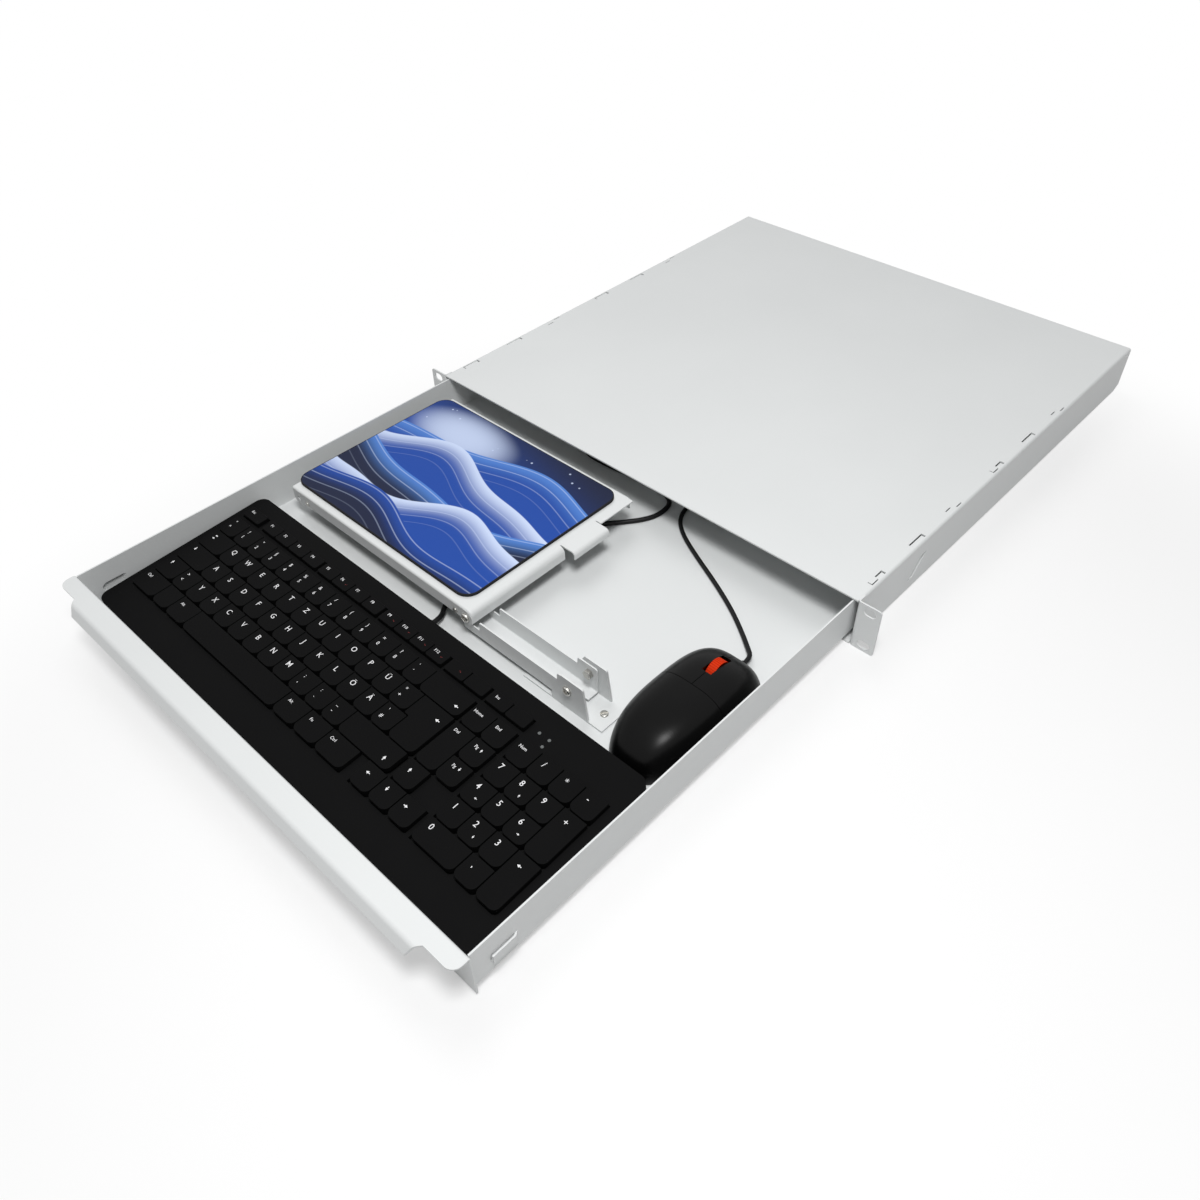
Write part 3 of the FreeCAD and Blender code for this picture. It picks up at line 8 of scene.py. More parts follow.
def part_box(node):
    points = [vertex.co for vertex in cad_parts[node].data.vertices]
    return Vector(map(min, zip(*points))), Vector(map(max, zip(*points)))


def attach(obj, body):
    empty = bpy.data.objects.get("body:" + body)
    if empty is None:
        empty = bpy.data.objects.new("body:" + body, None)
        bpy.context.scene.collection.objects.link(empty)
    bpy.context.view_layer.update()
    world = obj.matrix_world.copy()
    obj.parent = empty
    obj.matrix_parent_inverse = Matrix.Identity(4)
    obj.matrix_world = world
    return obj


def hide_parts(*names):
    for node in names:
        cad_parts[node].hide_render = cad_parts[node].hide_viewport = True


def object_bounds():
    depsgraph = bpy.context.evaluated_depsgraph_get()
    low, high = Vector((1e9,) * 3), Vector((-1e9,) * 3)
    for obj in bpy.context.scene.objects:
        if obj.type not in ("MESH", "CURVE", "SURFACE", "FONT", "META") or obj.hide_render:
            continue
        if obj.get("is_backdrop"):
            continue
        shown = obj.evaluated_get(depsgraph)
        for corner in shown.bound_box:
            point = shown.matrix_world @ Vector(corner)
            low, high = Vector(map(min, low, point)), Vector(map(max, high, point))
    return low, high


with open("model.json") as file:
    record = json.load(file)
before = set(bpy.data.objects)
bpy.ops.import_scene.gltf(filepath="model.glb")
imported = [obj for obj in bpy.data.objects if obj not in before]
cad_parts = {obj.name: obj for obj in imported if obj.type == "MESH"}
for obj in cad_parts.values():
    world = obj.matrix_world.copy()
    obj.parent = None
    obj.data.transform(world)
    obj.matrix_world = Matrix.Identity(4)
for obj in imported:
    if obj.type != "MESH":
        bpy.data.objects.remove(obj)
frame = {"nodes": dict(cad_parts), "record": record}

# Rack keyboard drawer: finishes, printed keys, cords and studio. Everything is in metres.

cad_low, cad_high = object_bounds()
MM = 0.001

# Widths of broken edges
FINE_EDGE = 0.1 * MM
TIGHT_EDGE = 0.12 * MM
SMALL_EDGE = 0.15 * MM
SOFT_EDGE = 0.2 * MM
SHEET_EDGE = 0.22 * MM
SHELL_EDGE = 0.4 * MM
KEY_EDGE = 0.45 * MM
DECK_EDGE = 0.7 * MM
WELD = 1e-6


# Selecting and shaping, as by hand

def only(piece):
    """Leave one object selected and active."""
    bpy.ops.object.select_all(action="DESELECT")
    piece.select_set(True)
    bpy.context.view_layer.objects.active = piece


def fresh():
    """Nothing selected, so that the next primitive stands alone."""
    bpy.ops.object.select_all(action="DESELECT")


def pick_faces(piece, wanted):
    """Go into edit mode with only the faces that pass the test selected."""
    only(piece)
    bpy.ops.object.mode_set(mode="EDIT")
    bpy.ops.mesh.select_mode(type="FACE")
    bpy.ops.mesh.select_all(action="DESELECT")
    bpy.ops.object.mode_set(mode="OBJECT")
    for face in piece.data.polygons:
        face.select = wanted(face)
    bpy.ops.object.mode_set(mode="EDIT")


def pick_edges(piece, wanted):
    """Go into edit mode with only the edges whose two ends pass the test selected."""
    only(piece)
    bpy.ops.object.mode_set(mode="EDIT")
    bpy.ops.mesh.select_mode(type="EDGE")
    bpy.ops.mesh.select_all(action="DESELECT")
    bpy.ops.object.mode_set(mode="OBJECT")
    points = piece.data.vertices
    for edge in piece.data.edges:
        edge.select = wanted(*(points[i].co for i in edge.vertices))
    bpy.ops.object.mode_set(mode="EDIT")


def to_object():
    """Back to object mode."""
    bpy.ops.object.mode_set(mode="OBJECT")


def apply_place(piece):
    """Put the object's place, turn and scale into its mesh."""
    only(piece)
    bpy.ops.object.transform_apply(location=True, rotation=True, scale=True)


def soften(piece, width, steps, angle=30):
    """Round the sharp edges a little and shade across the rounding."""
    only(piece)
    bpy.ops.object.modifier_add(type="BEVEL")
    bevel = piece.modifiers[-1]
    bevel.width = width
    bevel.segments = steps
    bevel.limit_method = "ANGLE"
    bevel.angle_limit = math.radians(angle)
    bpy.ops.object.modifier_apply(modifier=bevel.name)
    smooth(piece)


def smooth(piece, angle=32):
    """Shade smoothly across shallow edges, with normals weighted by face size."""
    only(piece)
    bpy.ops.object.shade_smooth_by_angle(angle=math.radians(angle))
    bpy.ops.object.modifier_add(type="WEIGHTED_NORMAL")
    evened = piece.modifiers[-1]
    evened.keep_sharp = True
    bpy.ops.object.modifier_apply(modifier=evened.name)


def body_of_node(node):
    """Name of the body that a node moves with."""
    for body, nodes in frame["record"]["behaviour"]["bodies"].items():
        if node in nodes:
            return body
    return "drawer"


def settle(piece, node, finish):
    """Let a piece stand for a node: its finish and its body."""
    piece.data.materials.clear()
    piece.data.materials.append(finish)
    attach(piece, body_of_node(node))
    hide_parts(node)
    return piece


def dressed(node, finish, edge=SOFT_EDGE, steps=2, flat=0.5, carve=None):
    """Copy of a node with its triangles joined up, carved where that is asked for, and its edges broken."""
    piece = bpy.data.objects.new(node + "_dressed", frame["nodes"][node].data.copy())
    bpy.context.scene.collection.objects.link(piece)
    only(piece)
    bpy.ops.object.mode_set(mode="EDIT")
    bpy.ops.mesh.select_all(action="SELECT")
    bpy.ops.mesh.remove_doubles(threshold=WELD)
    bpy.ops.mesh.dissolve_limited(angle_limit=math.radians(flat))
    to_object()
    if carve:
        carve(piece)
    soften(piece, edge, steps)
    return settle(piece, node, finish)


# Finishes

class Level:
    """A socket of a finish. Arithmetic on it adds Math nodes."""

    def __init__(self, finish, socket):
        self.finish = finish
        self.socket = socket

    def join(self, operation, first, second):
        return self.finish.node("ShaderNodeMath", {"operation": operation}, {0: first, 1: second})

    def __add__(self, other):
        return self.join("ADD", self, other)

    def __radd__(self, other):
        return self.join("ADD", other, self)

    def __sub__(self, other):
        return self.join("SUBTRACT", self, other)

    def __rsub__(self, other):
        return self.join("SUBTRACT", other, self)

    def __mul__(self, other):
        return self.join("MULTIPLY", self, other)

    def __rmul__(self, other):
        return self.join("MULTIPLY", other, self)

    def power(self, other):
        return self.join("POWER", self, other)

    def sine(self):
        return self.join("SINE", self, 0.0)

    def above(self, edge, blur):
        """0 below the edge and 1 above it, with a soft step between."""
        settings = {"interpolation_type": "SMOOTHSTEP"}
        inputs = {"Value": self, "From Min": edge - blur, "From Max": edge + blur}
        return self.finish.node("ShaderNodeMapRange", settings, inputs)


class Finish:
    """A procedural material on Object coordinates."""

    def __init__(self, name, **constants):
        self.material = bpy.data.materials.new(name)
        self.material.use_nodes = True
        self.tree = self.material.node_tree
        self.shader = self.tree.nodes["Principled BSDF"]
        self.place = self.node("ShaderNodeTexCoord", {}, {}, "Object")
        for socket, value in constants.items():
            self.set(socket.replace("_", " "), value)

    def feed(self, socket, value):
        if isinstance(value, Level):
            self.tree.links.new(value.socket, socket)
        else:
            socket.default_value = value

    def set(self, socket, value):
        self.feed(self.shader.inputs[socket], value)

    def node(self, kind, settings, inputs, output=0):
        made = self.tree.nodes.new(kind)
        for name, value in settings.items():
            setattr(made, name, value)
        for socket, value in inputs.items():
            self.feed(made.inputs[socket], value)
        return Level(self, made.outputs[output])

    def noise(self, scale, detail=2.0):
        return self.node("ShaderNodeTexNoise", {}, {"Vector": self.place, "Scale": scale, "Detail": detail})

    def mix(self, share, first, second):
        inputs = {0: share, 6: first, 7: second}
        return self.node("ShaderNodeMix", {"data_type": "RGBA"}, inputs, 2)

    def axis(self, name):
        return self.node("ShaderNodeSeparateXYZ", {}, {"Vector": self.place}, name)

    def bump(self, height, strength, depth):
        inputs = {"Strength": strength, "Distance": depth, "Height": height}
        self.set("Normal", self.node("ShaderNodeBump", {}, inputs))


def rgb(red, green, blue):
    """Opaque colour."""
    return (red, green, blue, 1.0)


# Print of the pad: its middle, steps to its edges, and the waves from the rear to the front as
# height, swell, pace, shift, colour of the crest and colour of the hollow
PAD_MIDDLE = (0.0962, 0.0978)
PAD_STEPS = (9.3, 12.3)
NAVY = rgb(0.005, 0.009, 0.032)
ROYAL = rgb(0.014, 0.062, 0.32)
SKY = rgb(0.080, 0.210, 0.58)
PALE = rgb(0.56, 0.65, 0.86)
WAVES = ((0.52, 0.16, 2.1, 0.6, SKY, ROYAL),
         (0.22, 0.20, 2.6, 2.4, PALE, ROYAL),
         (-0.10, 0.17, 2.2, 4.4, SKY, NAVY),
         (-0.38, 0.18, 2.9, 0.2, PALE, ROYAL),
         (-0.70, 0.14, 2.4, 2.9, ROYAL, NAVY))


def powder_coat():
    """Light grey satin powder coat with a fine orange peel."""
    coat = Finish("powder_coat")
    grain = coat.noise(2400)
    peel = coat.noise(800, 1.0)
    drift = coat.noise(7, 3.0)
    tone = 0.55 * drift + 0.45 * grain
    coat.set("Base Color", coat.mix(tone, rgb(0.63, 0.645, 0.645), rgb(0.73, 0.745, 0.745)))
    coat.set("Roughness", 0.38 + 0.14 * peel)
    coat.set("Specular IOR Level", 0.4)
    coat.bump(0.7 * peel + 0.3 * grain, 0.12, 0.08 * MM)
    return coat.material


def nickel():
    """Plated steel of the screws with fine turning marks."""
    plate = Finish("nickel", Metallic=1.0)
    streak = plate.noise(5200)
    stain = plate.noise(500)
    plate.set("Base Color", plate.mix(stain, rgb(0.40, 0.39, 0.36), rgb(0.64, 0.63, 0.60)))
    plate.set("Roughness", 0.2 + 0.22 * streak)
    plate.bump(streak, 0.15, 0.03 * MM)
    return plate.material


def black_plastic(name, tone, rough, grain_scale, grain_depth, specular):
    """Moulded black plastic with a spark-eroded grain."""
    plastic = Finish(name)
    grain = plastic.noise(grain_scale, 3.0)
    wear = plastic.noise(40, 2.0)
    darker = rgb(0.8 * tone, 0.8 * tone, 0.82 * tone)
    lighter = rgb(1.25 * tone, 1.25 * tone, 1.3 * tone)
    plastic.set("Base Color", plastic.mix(0.5 * grain + 0.5 * wear, darker, lighter))
    plastic.set("Roughness", rough - 0.06 + 0.08 * grain + 0.06 * wear)
    plastic.set("Specular IOR Level", specular)
    plastic.bump(grain, 0.25, grain_depth)
    return plastic.material


def print_white():
    """Pale ink of the key legends."""
    ink = Finish("print_white")
    patch = ink.noise(3000)
    ink.set("Base Color", ink.mix(patch, rgb(0.70, 0.70, 0.71), rgb(0.84, 0.84, 0.85)))
    ink.set("Roughness", 0.5 + 0.1 * patch)
    return ink.material


def print_red():
    """Dull red ink of the second legends in the top row."""
    ink = Finish("print_red")
    patch = ink.noise(3000)
    ink.set("Base Color", ink.mix(patch, rgb(0.16, 0.012, 0.012), rgb(0.26, 0.02, 0.018)))
    ink.set("Roughness", 0.5 + 0.1 * patch)
    return ink.material


def wheel_rubber():
    """Orange-red rubber of the scroll wheel."""
    rubber = Finish("wheel_rubber")
    grain = rubber.noise(4000)
    rubber.set("Base Color", rubber.mix(grain, rgb(0.50, 0.026, 0.005), rgb(0.66, 0.042, 0.008)))
    rubber.set("Roughness", 0.42 + 0.14 * grain)
    rubber.set("Specular IOR Level", 0.05)
    rubber.bump(grain, 0.2, 0.04 * MM)
    return rubber.material


def lamp_lens():
    """Unlit indicator lens, smoky."""
    lens = Finish("lamp_lens")
    cloud = lens.noise(1500)
    lens.set("Base Color", lens.mix(cloud, rgb(0.06, 0.065, 0.065), rgb(0.13, 0.14, 0.14)))
    lens.set("Roughness", 0.22 + 0.1 * cloud)
    return lens.material


def printed_cloth():
    """Printed top of the pad: rolling blue waves with bright crests under a glow, on a woven surface."""
    cloth = Finish("printed_cloth")
    across = (cloth.axis("X") + PAD_MIDDLE[0]) * PAD_STEPS[0]
    along = (cloth.axis("Y") + PAD_MIDDLE[1]) * PAD_STEPS[1]
    ground = cloth.mix((along + across * 0.35).above(0.55, 0.75), ROYAL, NAVY)
    glow = (across + 0.45) * (across + 0.45) * 1.2 + (along - 0.62) * (along - 0.62) * 2.6
    ground = cloth.mix((1.0 - glow.above(0.22, 0.24)) * 0.9, ground, PALE)
    cells = {"Vector": cloth.place, "Scale": 95.0}
    speck = 1.0 - cloth.node("ShaderNodeTexVoronoi", {}, cells, "Distance").above(0.09, 0.03)
    ground = cloth.mix(speck * 0.8, ground, PALE)
    for height, swell, pace, shift, crest, hollow in WAVES:
        roll = (across * pace + shift).sine() + (across * pace * 2.3 - shift).sine() * 0.3
        depth = height + roll * swell - along
        shade = cloth.mix((1.0 - depth.above(0.16, 0.17)).power(1.6), hollow, crest)
        lines = (depth * 55.0).sine().above(0.93, 0.05) * (1.0 - depth.above(0.3, 0.2)) * 0.35
        ground = cloth.mix(depth.above(0.0, 0.006), ground, cloth.mix(lines, shade, PALE))
    weave = (cloth.axis("X") * 9000.0).sine() * (cloth.axis("Y") * 9000.0).sine()
    cloth.set("Base Color", ground)
    cloth.set("Roughness", 0.55 + 0.1 * weave)
    cloth.set("Specular IOR Level", 0.2)
    cloth.bump(weave, 0.2, 0.06 * MM)
    return cloth.material


def foam_edge():
    """Black foam rubber under the printed cloth."""
    foam = Finish("foam_edge")
    cells = foam.noise(3500, 3.0)
    foam.set("Base Color", foam.mix(cells, rgb(0.008, 0.008, 0.009), rgb(0.022, 0.022, 0.024)))
    foam.set("Roughness", 0.8 + 0.12 * cells)
    foam.set("Specular IOR Level", 0.2)
    foam.bump(cells, 0.4, 0.1 * MM)
    return foam.material


def cord_jacket():
    """Black cord jacket."""
    jacket = Finish("cord_jacket")
    grain = jacket.noise(2500)
    jacket.set("Base Color", jacket.mix(grain, rgb(0.003, 0.003, 0.0033), rgb(0.007, 0.007, 0.0075)))
    jacket.set("Roughness", 0.42 + 0.12 * grain)
    jacket.set("Specular IOR Level", 0.2)
    jacket.bump(grain, 0.15, 0.05 * MM)
    return jacket.material


def bare_steel():
    """Rolled steel of the plug shells and the mouse axle."""
    steel = Finish("bare_steel", Metallic=1.0)
    roll = steel.noise(1800, 3.0)
    steel.set("Base Color", steel.mix(roll, rgb(0.40, 0.40, 0.41), rgb(0.60, 0.60, 0.60)))
    steel.set("Roughness", 0.3 + 0.2 * roll)
    steel.bump(roll, 0.1, 0.03 * MM)
    return steel.material


PAINT = powder_coat()
NICKEL = nickel()
DECK = black_plastic("deck_plastic", 0.0046, 0.55, 2200, 0.06 * MM, 0.03)
CAP = black_plastic("key_plastic", 0.0042, 0.5, 2600, 0.05 * MM, 0.03)
HULL = black_plastic("mouse_plastic", 0.0012, 0.3, 3800, 0.008 * MM, 0.12)
# Near-black plastic for the switch plate and board: painted shade that darkens the gaps between the keys.
PAINTED_SHADE_PLASTIC = black_plastic("painted_shade_plastic", 0.004, 0.7, 1800, 0.05 * MM, 0.1)
WHITE_INK = print_white()
RED_INK = print_red()
WHEEL = wheel_rubber()
LENS = lamp_lens()
CLOTH = printed_cloth()
FOAM = foam_edge()
JACKET = cord_jacket()
STEEL = bare_steel()


# Sheet metal

SHEET_NODES = ("case_cover", "drawer_pan", "drawer_front", "bracket", "swing_arm", "mouse_tray",
               "tray_hinge_lug")
for node in SHEET_NODES:
    dressed(node, PAINT, SHEET_EDGE)


# Screw drives: a head's flat tip, the hexagon socket, and the slot as length, width and depth
TIP = 0.05 * MM
SOCKET_R = 2.0 * MM
SOCKET_DEEP = 3.0 * MM
SLOT = (9.0 * MM, 1.2 * MM, 1.6 * MM)
SLOT_TURN = math.radians(55)


def cut_out(piece, cutter):
    """Take the cutter's shape out of a piece and drop the cutter."""
    only(piece)
    bpy.ops.object.modifier_add(type="BOOLEAN")
    cut = piece.modifiers[-1]
    cut.object = cutter
    cut.operation = "DIFFERENCE"
    cut.solver = "EXACT"
    bpy.ops.object.modifier_apply(modifier=cut.name)
    bpy.data.objects.remove(cutter)


def mean(points):
    """Middle of a list of points."""
    return sum(points, Vector()) / len(points)


def hex_sockets(piece):
    """Socket for a hexagon key in the head at each end of a hinge line."""
    points = [vertex.co.copy() for vertex in piece.data.vertices]
    for end in (min, max):
        tip = end(point.y for point in points)
        head = [point for point in points if abs(point.y - tip) < TIP]
        fresh()
        bpy.ops.mesh.primitive_cylinder_add(vertices=6, radius=SOCKET_R, depth=SOCKET_DEEP,
                                            location=mean(head), rotation=(math.radians(90), 0, 0))
        cut_out(piece, bpy.context.object)


def drive_slots(piece):
    """Slot across each flat head that holds the bracket down."""
    points = [vertex.co.copy() for vertex in piece.data.vertices]
    top = max(point.z for point in points)
    split = (min(point.x for point in points) + max(point.x for point in points)) / 2
    for side in (-1, 1):
        half = [point for point in points if (point.x - split) * side > 0]
        head = [point for point in half if abs(point.z - top) < TIP]
        fresh()
        bpy.ops.mesh.primitive_cube_add(size=1.0, location=mean(head), rotation=(0, 0, SLOT_TURN),
                                        scale=SLOT)
        cut_out(piece, bpy.context.object)


for node in ("arm_pivot_screws", "tray_hinge_screws"):
    dressed(node, NICKEL, SMALL_EDGE, carve=hex_sockets)
dressed("bracket_screws", NICKEL, TIGHT_EDGE, carve=drive_slots)
for node in ("tray_rivets", "arm_pivot_nuts", "tray_hinge_nuts"):
    dressed(node, NICKEL, SMALL_EDGE)


# Keyboard

dressed("keyboard_deck", DECK, DECK_EDGE, 3)
dressed("keyboard_base", DECK, SHELL_EDGE)
# Switch plate and board in the near-black plastic, as painted shade in the gaps between the keys.
dressed("keyboard_switch_plate", PAINTED_SHADE_PLASTIC, FINE_EDGE)
dressed("keyboard_board", PAINTED_SHADE_PLASTIC, FINE_EDGE)
dressed("keyboard_feet", FOAM)
dressed("keyboard_lamps", LENS, SMALL_EDGE)
SINGLE_KEYS = ("key_escape", "key_tab", "key_caps", "key_shift_left", "key_shift_right", "key_enter",
               "key_backspace", "key_space", "key_arrow_up", "key_pad_zero", "key_pad_enter",
               "key_pad_plus")
KEY_ROWS = ("keys_function", "keys_digits", "keys_upper", "keys_home", "keys_lower", "keys_bottom",
            "keys_navigation", "keys_pad")
for node in SINGLE_KEYS + KEY_ROWS:
    dressed(node, CAP, KEY_EDGE, 3)

# Key field: pitch and places as on the solids, counted in steps of the pitch
PITCH = 19.05 * MM
KEY_LEFT = -205.1 * MM
BOTTOM_ROW = 34.2 * MM
KEY_RISE = 3.0 * MM
BOARD_FRONT = -354.2 * MM
DECK_FRONT = -1.6 * MM
TILT = math.radians(2.98)
NAV = 15.2
PAD = 17.4
PRINT_T = 0.012 * MM
STROKE = 0.01 * MM
LETTER = 4.2 * MM
SIGN = 3.0 * MM
SMALL = 2.3 * MM
BIG_ARROW = 3.2 * MM
PAGE_ARROW = 2.4 * MM
PAD_ARROW = 2.0 * MM
CAPITAL = 0.69

# Places of legends on a key: across from its left edge and down from its rear edge, in millimetres
MIDDLE = (7.0, 7.0)
LOWER = (5.6, 11.4)
UPPER = (5.6, 5.4)
CORNER = (6.6, 6.0)
TOP_ROW = (6.6, 8.0)
BESIDE = (11.4, 6.0)
BELOW = (11.6, 13.2)


def on_keys(u, v):
    """Point on the key tops, from u to the right and v to the rear of the board's front."""
    rise = KEY_RISE + 1.5 * PRINT_T
    y = BOARD_FRONT + v * math.cos(TILT) - rise * math.sin(TILT)
    z = DECK_FRONT + v * math.sin(TILT) + rise * math.cos(TILT)
    return Vector((u, y, z))


def spot(start, row, across, down):
    """Place on a key: across from its left edge and down from its rear edge, in millimetres."""
    u = KEY_LEFT + start * PITCH + across * MM
    v = BOTTOM_ROW + (row + 0.5) * PITCH - down * MM
    return u, v


def mark(text, place, height):
    """One legend as a thin text, upright for someone sitting at the keyboard."""
    fresh()
    bpy.ops.object.text_add(location=on_keys(*place), rotation=(TILT, 0, 0))
    letters = bpy.context.object
    letters.data.body = text
    letters.data.size = height / CAPITAL
    letters.data.align_x = "CENTER"
    letters.data.align_y = "CENTER"
    letters.data.resolution_u = 2
    letters.data.extrude = PRINT_T
    letters.data.offset = STROKE
    return letters


def arrow(place, turn, length):
    """Arrow sign: a three-cornered head on a short bar, pointing along turn."""
    head = 0.42 * length
    foot = (0, -head, 0)
    fresh()
    bpy.ops.mesh.primitive_circle_add(vertices=3, radius=head, fill_type="NGON")
    sign = bpy.context.object
    bpy.ops.object.mode_set(mode="EDIT")
    bpy.ops.mesh.primitive_plane_add(size=1.0, location=foot)
    bpy.ops.transform.resize(value=(0.2 * length, 0.5 * length, 1), center_override=foot)
    bpy.ops.mesh.select_all(action="SELECT")
    bpy.ops.mesh.extrude_region_move(TRANSFORM_OT_translate={"value": (0, 0, PRINT_T)})
    bpy.ops.mesh.select_all(action="SELECT")
    bpy.ops.mesh.normals_make_consistent(inside=False)
    to_object()
    flat = Quaternion((0, 0, 1), math.radians(turn))
    sign.rotation_euler = (Quaternion((1, 0, 0), TILT) @ flat).to_euler()
    sign.location = on_keys(*place)
    return sign


def printed(name, marks, body, ink):
    """Join legends into one piece that rides with its keys."""
    fresh()
    for item in marks:
        item.select_set(True)
    bpy.context.view_layer.objects.active = marks[0]
    bpy.ops.object.convert(target="MESH")
    if len(marks) > 1:
        bpy.ops.object.join()
    piece = bpy.context.object
    apply_place(piece)
    piece.name = name
    piece.data.materials.clear()
    piece.data.materials.append(ink)
    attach(piece, body)
    return piece


def letter_row(letters, start, row):
    """Letters of one row, one step of the pitch apart."""
    return [mark(letter, spot(start + i, row, *MIDDLE), LETTER) for i, letter in enumerate(letters)]


white = letter_row("QWERTZUIOPÜ", 1.5, 3)
white += letter_row("ASDFGHJKLÖÄ", 1.75, 2)
white += letter_row("YXCVBNM", 2.25, 1)
DIGIT_SIGNS = ("^°", "1!", "2\"", "3§", "4$", "5%", "6&", "7/", "8(", "9)", "0=", "ß?", "´`")
for i, (low, high) in enumerate(DIGIT_SIGNS):
    white.append(mark(low, spot(i, 4, *LOWER), SIGN))
    white.append(mark(high, spot(i, 4, *UPPER), SIGN))
PAIRS = ((12.5, 3, "+*"), (12.75, 2, "#'"), (1.25, 1, "<>"), (9.25, 1, ",;"), (10.25, 1, ".:"),
         (11.25, 1, "-_"))
for start, row, (low, high) in PAIRS:
    white.append(mark(low, spot(start, row, *LOWER), SIGN))
    white.append(mark(high, spot(start, row, *UPPER), SIGN))
for start, word in ((0.0, "Ctrl"), (2.5, "Alt"), (9.75, "Alt"), (11.0, "Fn"), (12.25, "Ctrl")):
    white.append(mark(word, spot(start, 0, *CORNER), SMALL))
for start, row, word in ((NAV, 4, "Home"), (NAV + 1, 4, "End"), (NAV, 3, "Del"), (NAV + 1, 3, "Pg"),
                         (NAV + 1, 2, "Pg"), (PAD, 4, "Num")):
    white.append(mark(word, spot(start, row, *CORNER), SMALL))
white.append(arrow(spot(NAV + 1, 3, *BESIDE), 0, PAGE_ARROW))
white.append(arrow(spot(NAV + 1, 2, *BESIDE), 180, PAGE_ARROW))
for i, turn in enumerate((90, 180, 270)):
    white.append(arrow(spot(NAV - 1 + i, 0, *MIDDLE), turn, BIG_ARROW))
for i, sign in enumerate("/*-"):
    white.append(mark(sign, spot(PAD + 1 + i, 4, 7.0, 6.4), LETTER))
for row, digits in ((3, "789"), (2, "456"), (1, "123")):
    for i, digit in enumerate(digits):
        white.append(mark(digit, spot(PAD + i, row, *CORNER), LETTER))
for place, turn in (((PAD + 1, 3), 0), ((PAD, 2), 90), ((PAD + 2, 2), 270), ((PAD + 1, 1), 180)):
    white.append(arrow(spot(place[0], place[1], *BELOW), turn, PAD_ARROW))
white.append(mark(",", spot(PAD + 2, 0, *CORNER), LETTER))
FUNCTION_GROUPS = ((1.4, 0.95, 4), (5.3, 0.95, 4), (9.2, 0.92, 4), (13.0, 1.05, 2))
LAST_F_KEY = 12
RED_KEYS = (6, 9, 10, 11, 12, 13)
red = []
number = 0
for start, width, count in FUNCTION_GROUPS:
    for i in range(count):
        number += 1
        place = spot(start + i * width, 5, 6.0, 8.0)
        if number <= LAST_F_KEY:
            white.append(mark("F" + str(number), place, SMALL))
        if number in RED_KEYS:
            u, v = place
            red.append(mark("·-" if number % 2 else "-·", (u + 6.5 * MM, v - 1.6 * MM), SMALL))
white.append(mark("Ins", spot(NAV, 5, *TOP_ROW), SMALL))
printed("legends", white, "drawer", WHITE_INK)
printed("legends_red", red, "drawer", RED_INK)

OWN_MARKS = {
    "key_escape": [mark("Esc", spot(0.0, 5, *TOP_ROW), SMALL)],
    "key_tab": [arrow(spot(0.0, 3, 7.5, 5.4), 90, 2.6 * MM),
                arrow(spot(0.0, 3, 8.0, 8.4), 270, 2.6 * MM)],
    "key_caps": [arrow(spot(0.0, 2, 7.5, 5.6), 180, 3.0 * MM)],
    "key_shift_left": [arrow(spot(0.0, 1, 7.0, 5.6), 0, 3.2 * MM)],
    "key_shift_right": [arrow(spot(12.25, 1, 43.5, 12.0), 0, 3.4 * MM)],
    "key_enter": [arrow(spot(13.5, 3, 22.5, 9.0), 90, 3.6 * MM)],
    "key_backspace": [arrow(spot(13.0, 4, 32.5, 12.2), 90, 3.4 * MM)],
    "key_arrow_up": [arrow(spot(NAV, 1, *MIDDLE), 0, BIG_ARROW)],
    "key_pad_zero": [mark("0", spot(PAD, 0, *CORNER), LETTER)],
    "key_pad_plus": [mark("+", spot(PAD + 3, 3, 8.0, 8.0), LETTER)],
    "key_pad_enter": [arrow(spot(PAD + 3, 1, 7.6, 8.0), 90, 3.0 * MM)],
}
for key, marks in OWN_MARKS.items():
    printed(key + "_legend", marks, key + "_cap", WHITE_INK)


# Mouse

for node in ("mouse_palm", "mouse_button_left", "mouse_button_right", "mouse_base"):
    dressed(node, HULL, TIGHT_EDGE, flat=0.2)
dressed("mouse_axle", STEEL, FINE_EDGE)
dressed("mouse_glides", FOAM, SMALL_EDGE)


# Wheel: how far its tyre lies below the solid's, its flanks, and its grooves
WHEEL_SUNK = 0.8 * MM
WHEEL_SIDES = 72
FLANKS = ((1.4 * MM, 0.8), (2.5 * MM, 0.6))
GROOVE_RIM = 0.12 * MM
GROOVE_DEEP = 0.45 * MM
TYRE_EDGE = 0.14 * MM


def scroll_wheel():
    """Scroll wheel with a ridged tyre, turned about the axle."""
    low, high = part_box("mouse_wheel")
    centre = (low + high) / 2
    radius = (high.z - low.z) / 2 - WHEEL_SUNK
    width = high.x - low.x
    fresh()
    bpy.ops.mesh.primitive_cylinder_add(vertices=WHEEL_SIDES, radius=radius, depth=width, location=centre,
                                        rotation=(0, math.radians(90), 0))
    wheel = bpy.context.object
    wheel.name = "mouse_wheel_ridged"
    apply_place(wheel)
    pick_faces(wheel, lambda face: abs(face.normal.x) > 0.9)
    for step, hollow in FLANKS:
        bpy.ops.mesh.inset(thickness=step)
        bpy.ops.transform.resize(value=(hollow, 1, 1), center_override=centre)
    to_object()
    rim = [face.index for face in wheel.data.polygons if abs(face.normal.x) < 0.1]
    grooves = set(rim[::2])
    pick_faces(wheel, lambda face: face.index in grooves)
    bpy.ops.mesh.inset(thickness=GROOVE_RIM, use_individual=True)
    bpy.ops.mesh.extrude_region_shrink_fatten(TRANSFORM_OT_shrink_fatten={"value": -GROOVE_DEEP})
    to_object()
    soften(wheel, TYRE_EDGE, 2)
    return settle(wheel, "mouse_wheel", WHEEL)


scroll_wheel()


# Mouse pad

PAD_CORNER_R = 12.0 * MM
PAD_RIMS = (0.5 * MM, 0.35 * MM)
PAD_EDGE = 0.35 * MM
PAD_TOP_AREA = 0.01


